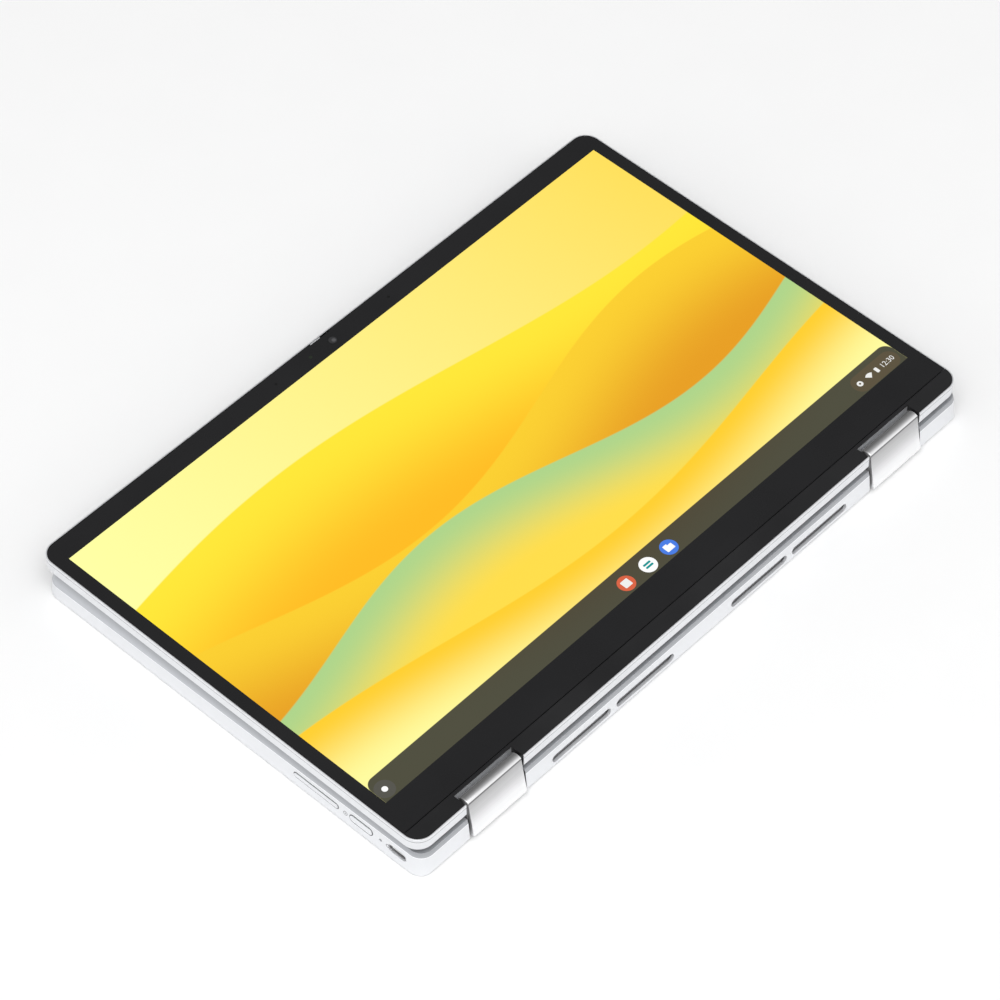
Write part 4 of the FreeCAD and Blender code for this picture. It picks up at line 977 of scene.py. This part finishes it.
# painted shade in the gaps round the rocker and the power button, a dark ring flush with the wall: the outlines of
# button and hole, joined by quads
paintedGapShade = {
    "lift": 0.00002,
    "width": 0.00036,
    "flangeLong": 0.001,      # how far the hidden flange reaches past the button at each end
    "flangeHigh": 0.0009,     # and above and below
    "endShort": 0.000001,     # keeps the two half circles of an outline apart
}
for button in ("volume_rocker", "power_button"):
    low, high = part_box(button)
    middle = ((low.y + high.y) / 2, (low.z + high.z) / 2)
    halfLong = (high.y - low.y) / 2 - paintedGapShade["flangeLong"]
    halfHigh = (high.z - low.z) / 2 - paintedGapShade["flangeHigh"]
    loops = [
        roundOutline(*middle, halfLong + grow, halfHigh + grow, halfHigh + grow - paintedGapShade["endShort"])
        for grow in (0.0, paintedGapShade["width"])
    ]
    gapShadePoints = onLeftWall(np.concatenate(loops), paintedGapShade["lift"])
    gapShadeFaces = gridFaces(2, len(loops[0]), closed=True)[:, ::-1]
    meshPiece(button + "_painted_gap_shade", gapShadePoints, gapShadeFaces, trim, "base", smooth=False)

# small printed rings beside the power button and the status light
sideMarks = {
    "lift": 0.00003,
    "ink": (0.30, 0.30, 0.31),
    "points": 24,
    # place along the wall and height, outer radius, inner radius
    "rings": [
        (-0.0637, 0.0058, 0.0011, 0.0008),
        (-0.0861, 0.0058, 0.0009, 0.0006),
        (-0.0637, 0.0058, 0.0003, 0.0),
    ],
}
ringTurn = np.linspace(0, 2 * math.pi, sideMarks["points"], endpoint=False)
circle = np.stack([np.cos(ringTurn), np.sin(ringTurn)], -1)
ringPoints, ringFaces = [], []
for place, height, outer, inner in sideMarks["rings"]:
    # two circles on the wall, joined by quads
    spots = np.concatenate([(place, height) + radius * circle for radius in (inner, outer)])
    ringFaces.append(gridFaces(2, len(circle), closed=True)[:, ::-1] + len(spots) * len(ringPoints))
    ringPoints.append(onLeftWall(spots, sideMarks["lift"]))
signPoints, signFaces = np.concatenate(ringPoints), np.concatenate(ringFaces)
signInk = mouldedPlastic("signInk", sideMarks["ink"], 0.5, 5200, 0.02)
meshPiece("side_signs", signPoints, signFaces, signInk, "base", smooth=False)
print("stage: painted gap shade and side signs")

clock = {"size": 0.0035, "left": 0.1431, "low": barMiddle - 0.0011, "body": "12:30"}
clockText = bpy.data.curves.new("clockText", "FONT")
clockText.body = clock["body"]
clockText.size = clock["size"]
clockShape = placed("clockShape", clockText)
bpy.context.view_layer.update()
shown = clockShape.evaluated_get(bpy.context.evaluated_depsgraph_get())
clockMesh = bpy.data.meshes.new_from_object(shown)
bpy.data.objects.remove(clockShape)
clockPoints = np.zeros(3 * len(clockMesh.vertices), np.float32)
clockMesh.vertices.foreach_get("co", clockPoints)
clockPoints = clockPoints.reshape(-1, 3) + (clock["left"], clock["low"], pictureTop + 2 * layerStep)
clockMesh.vertices.foreach_set("co", clockPoints.ravel())
clockPaint = clockMesh.attributes.new("paint", "FLOAT_COLOR", "POINT")
clockPaint.data.foreach_set("color", np.tile((*white, 1.0), len(clockPoints)).astype(np.float32))
clockMesh.materials.clear()
clockMesh.materials.append(printedMarks("clockInk", 1.0))
clockPiece = placed("clock_digits", clockMesh)
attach(clockPiece, "lid")
print("stage: clock digits")


# the studio: a plain pale floor, soft lights and the camera
studio = {
    "floorSize": 30.0,
    "floorTone": (0.93, 0.93, 0.93),
    "sky": (1.0, 1.0, 1.0),
    "skyLight": 0.85,
    "darkLight": 0.12,
    "darkCeiling": (0.468, 0.437, 0.768),
    "ceilingEdge": (0.66, 0.95),
    "cameraPlace": (-0.85053, -0.78937, 1.39084),
    "cameraAim": (-0.0156955, -0.00926091, 0.0213),
    "lens": 160.485,
    "sensor": 36,
    "clip": (0.05, 50),
}
# place, aim, width, height and power of each soft light
softLights = {
    "overhead": ((-0.7, -0.7, 2.0), (0, 0, 0), 1.8, 1.8, 24),
    "leftCard": ((-1.8, 0.3, 0.7), (0, 0, 0), 1.2, 0.9, 3),
    "frontCard": ((0.5, -1.8, 0.7), (0, 0, 0), 1.2, 0.9, 3),
}

floorMaterial = mouldedPlastic("paleFloor", studio["floorTone"], 0.9, 40, 0.0, 0.0, 0.006)
half = studio["floorSize"] / 2
floorMesh = bpy.data.meshes.new("floor")
corners = [(-half, -half, 0), (half, -half, 0), (half, half, 0), (-half, half, 0)]
floorMesh.from_pydata(corners, [], [(0, 1, 2, 3)])
floorMesh.materials.append(floorMaterial)
floor = placed("floor", floorMesh)


def aimed(thing, place, aim):
    # stands a light or the camera at a place, looking at the aim
    thing.location = place
    thing.rotation_euler = (Vector(aim) - Vector(place)).to_track_quat("-Z", "Y").to_euler()


for lightName, (place, aim, width, height, power) in softLights.items():
    lamp = bpy.data.lights.new(lightName, "AREA")
    lamp.shape = "RECTANGLE"
    lamp.size, lamp.size_y = width, height
    lamp.energy = power
    aimed(placed(lightName, lamp), place, aim)

world = bpy.data.worlds.new("studioSky")
world.use_nodes = True
sky = world.node_tree
skyLight = sky.nodes["Background"]
skyLight.label = "sky light"
sky.nodes["World Output"].label = "studio surroundings"
heading = sky.nodes.new("ShaderNodeTexCoord")
heading.label = "direction"
towards = sky.nodes.new("ShaderNodeVectorMath")
towards.label = "nearness to the dark ceiling"
towards.operation = "DOT_PRODUCT"
towards.inputs[1].default_value = studio["darkCeiling"]
ceiling = sky.nodes.new("ShaderNodeMapRange")
ceiling.label = "soft edge of the dark ceiling"
ceiling.interpolation_type = "SMOOTHSTEP"
ceilingFrame = sky.nodes.new("NodeFrame")
ceilingFrame.label = "dark ceiling"
heading.parent = towards.parent = ceiling.parent = ceilingFrame
ceiling.inputs["From Min"].default_value, ceiling.inputs["From Max"].default_value = studio["ceilingEdge"]
ceiling.inputs["To Min"].default_value = studio["skyLight"]
ceiling.inputs["To Max"].default_value = studio["darkLight"]
skyLight.inputs["Color"].default_value = (*studio["sky"], 1)
sky.links.new(heading.outputs["Generated"], towards.inputs[0])
sky.links.new(towards.outputs["Value"], ceiling.inputs["Value"])
sky.links.new(ceiling.outputs["Result"], skyLight.inputs["Strength"])
spreadNodes(sky)
bpy.context.scene.world = world
bpy.context.scene.view_settings.view_transform = "Standard"

cameraData = bpy.data.cameras.new("camera")
cameraData.lens = studio["lens"]
cameraData.sensor_width = studio["sensor"]
cameraData.clip_start, cameraData.clip_end = studio["clip"]
camera = placed("camera", cameraData)
aimed(camera, studio["cameraPlace"], studio["cameraAim"])
bpy.context.scene.camera = camera
print("stage: studio")
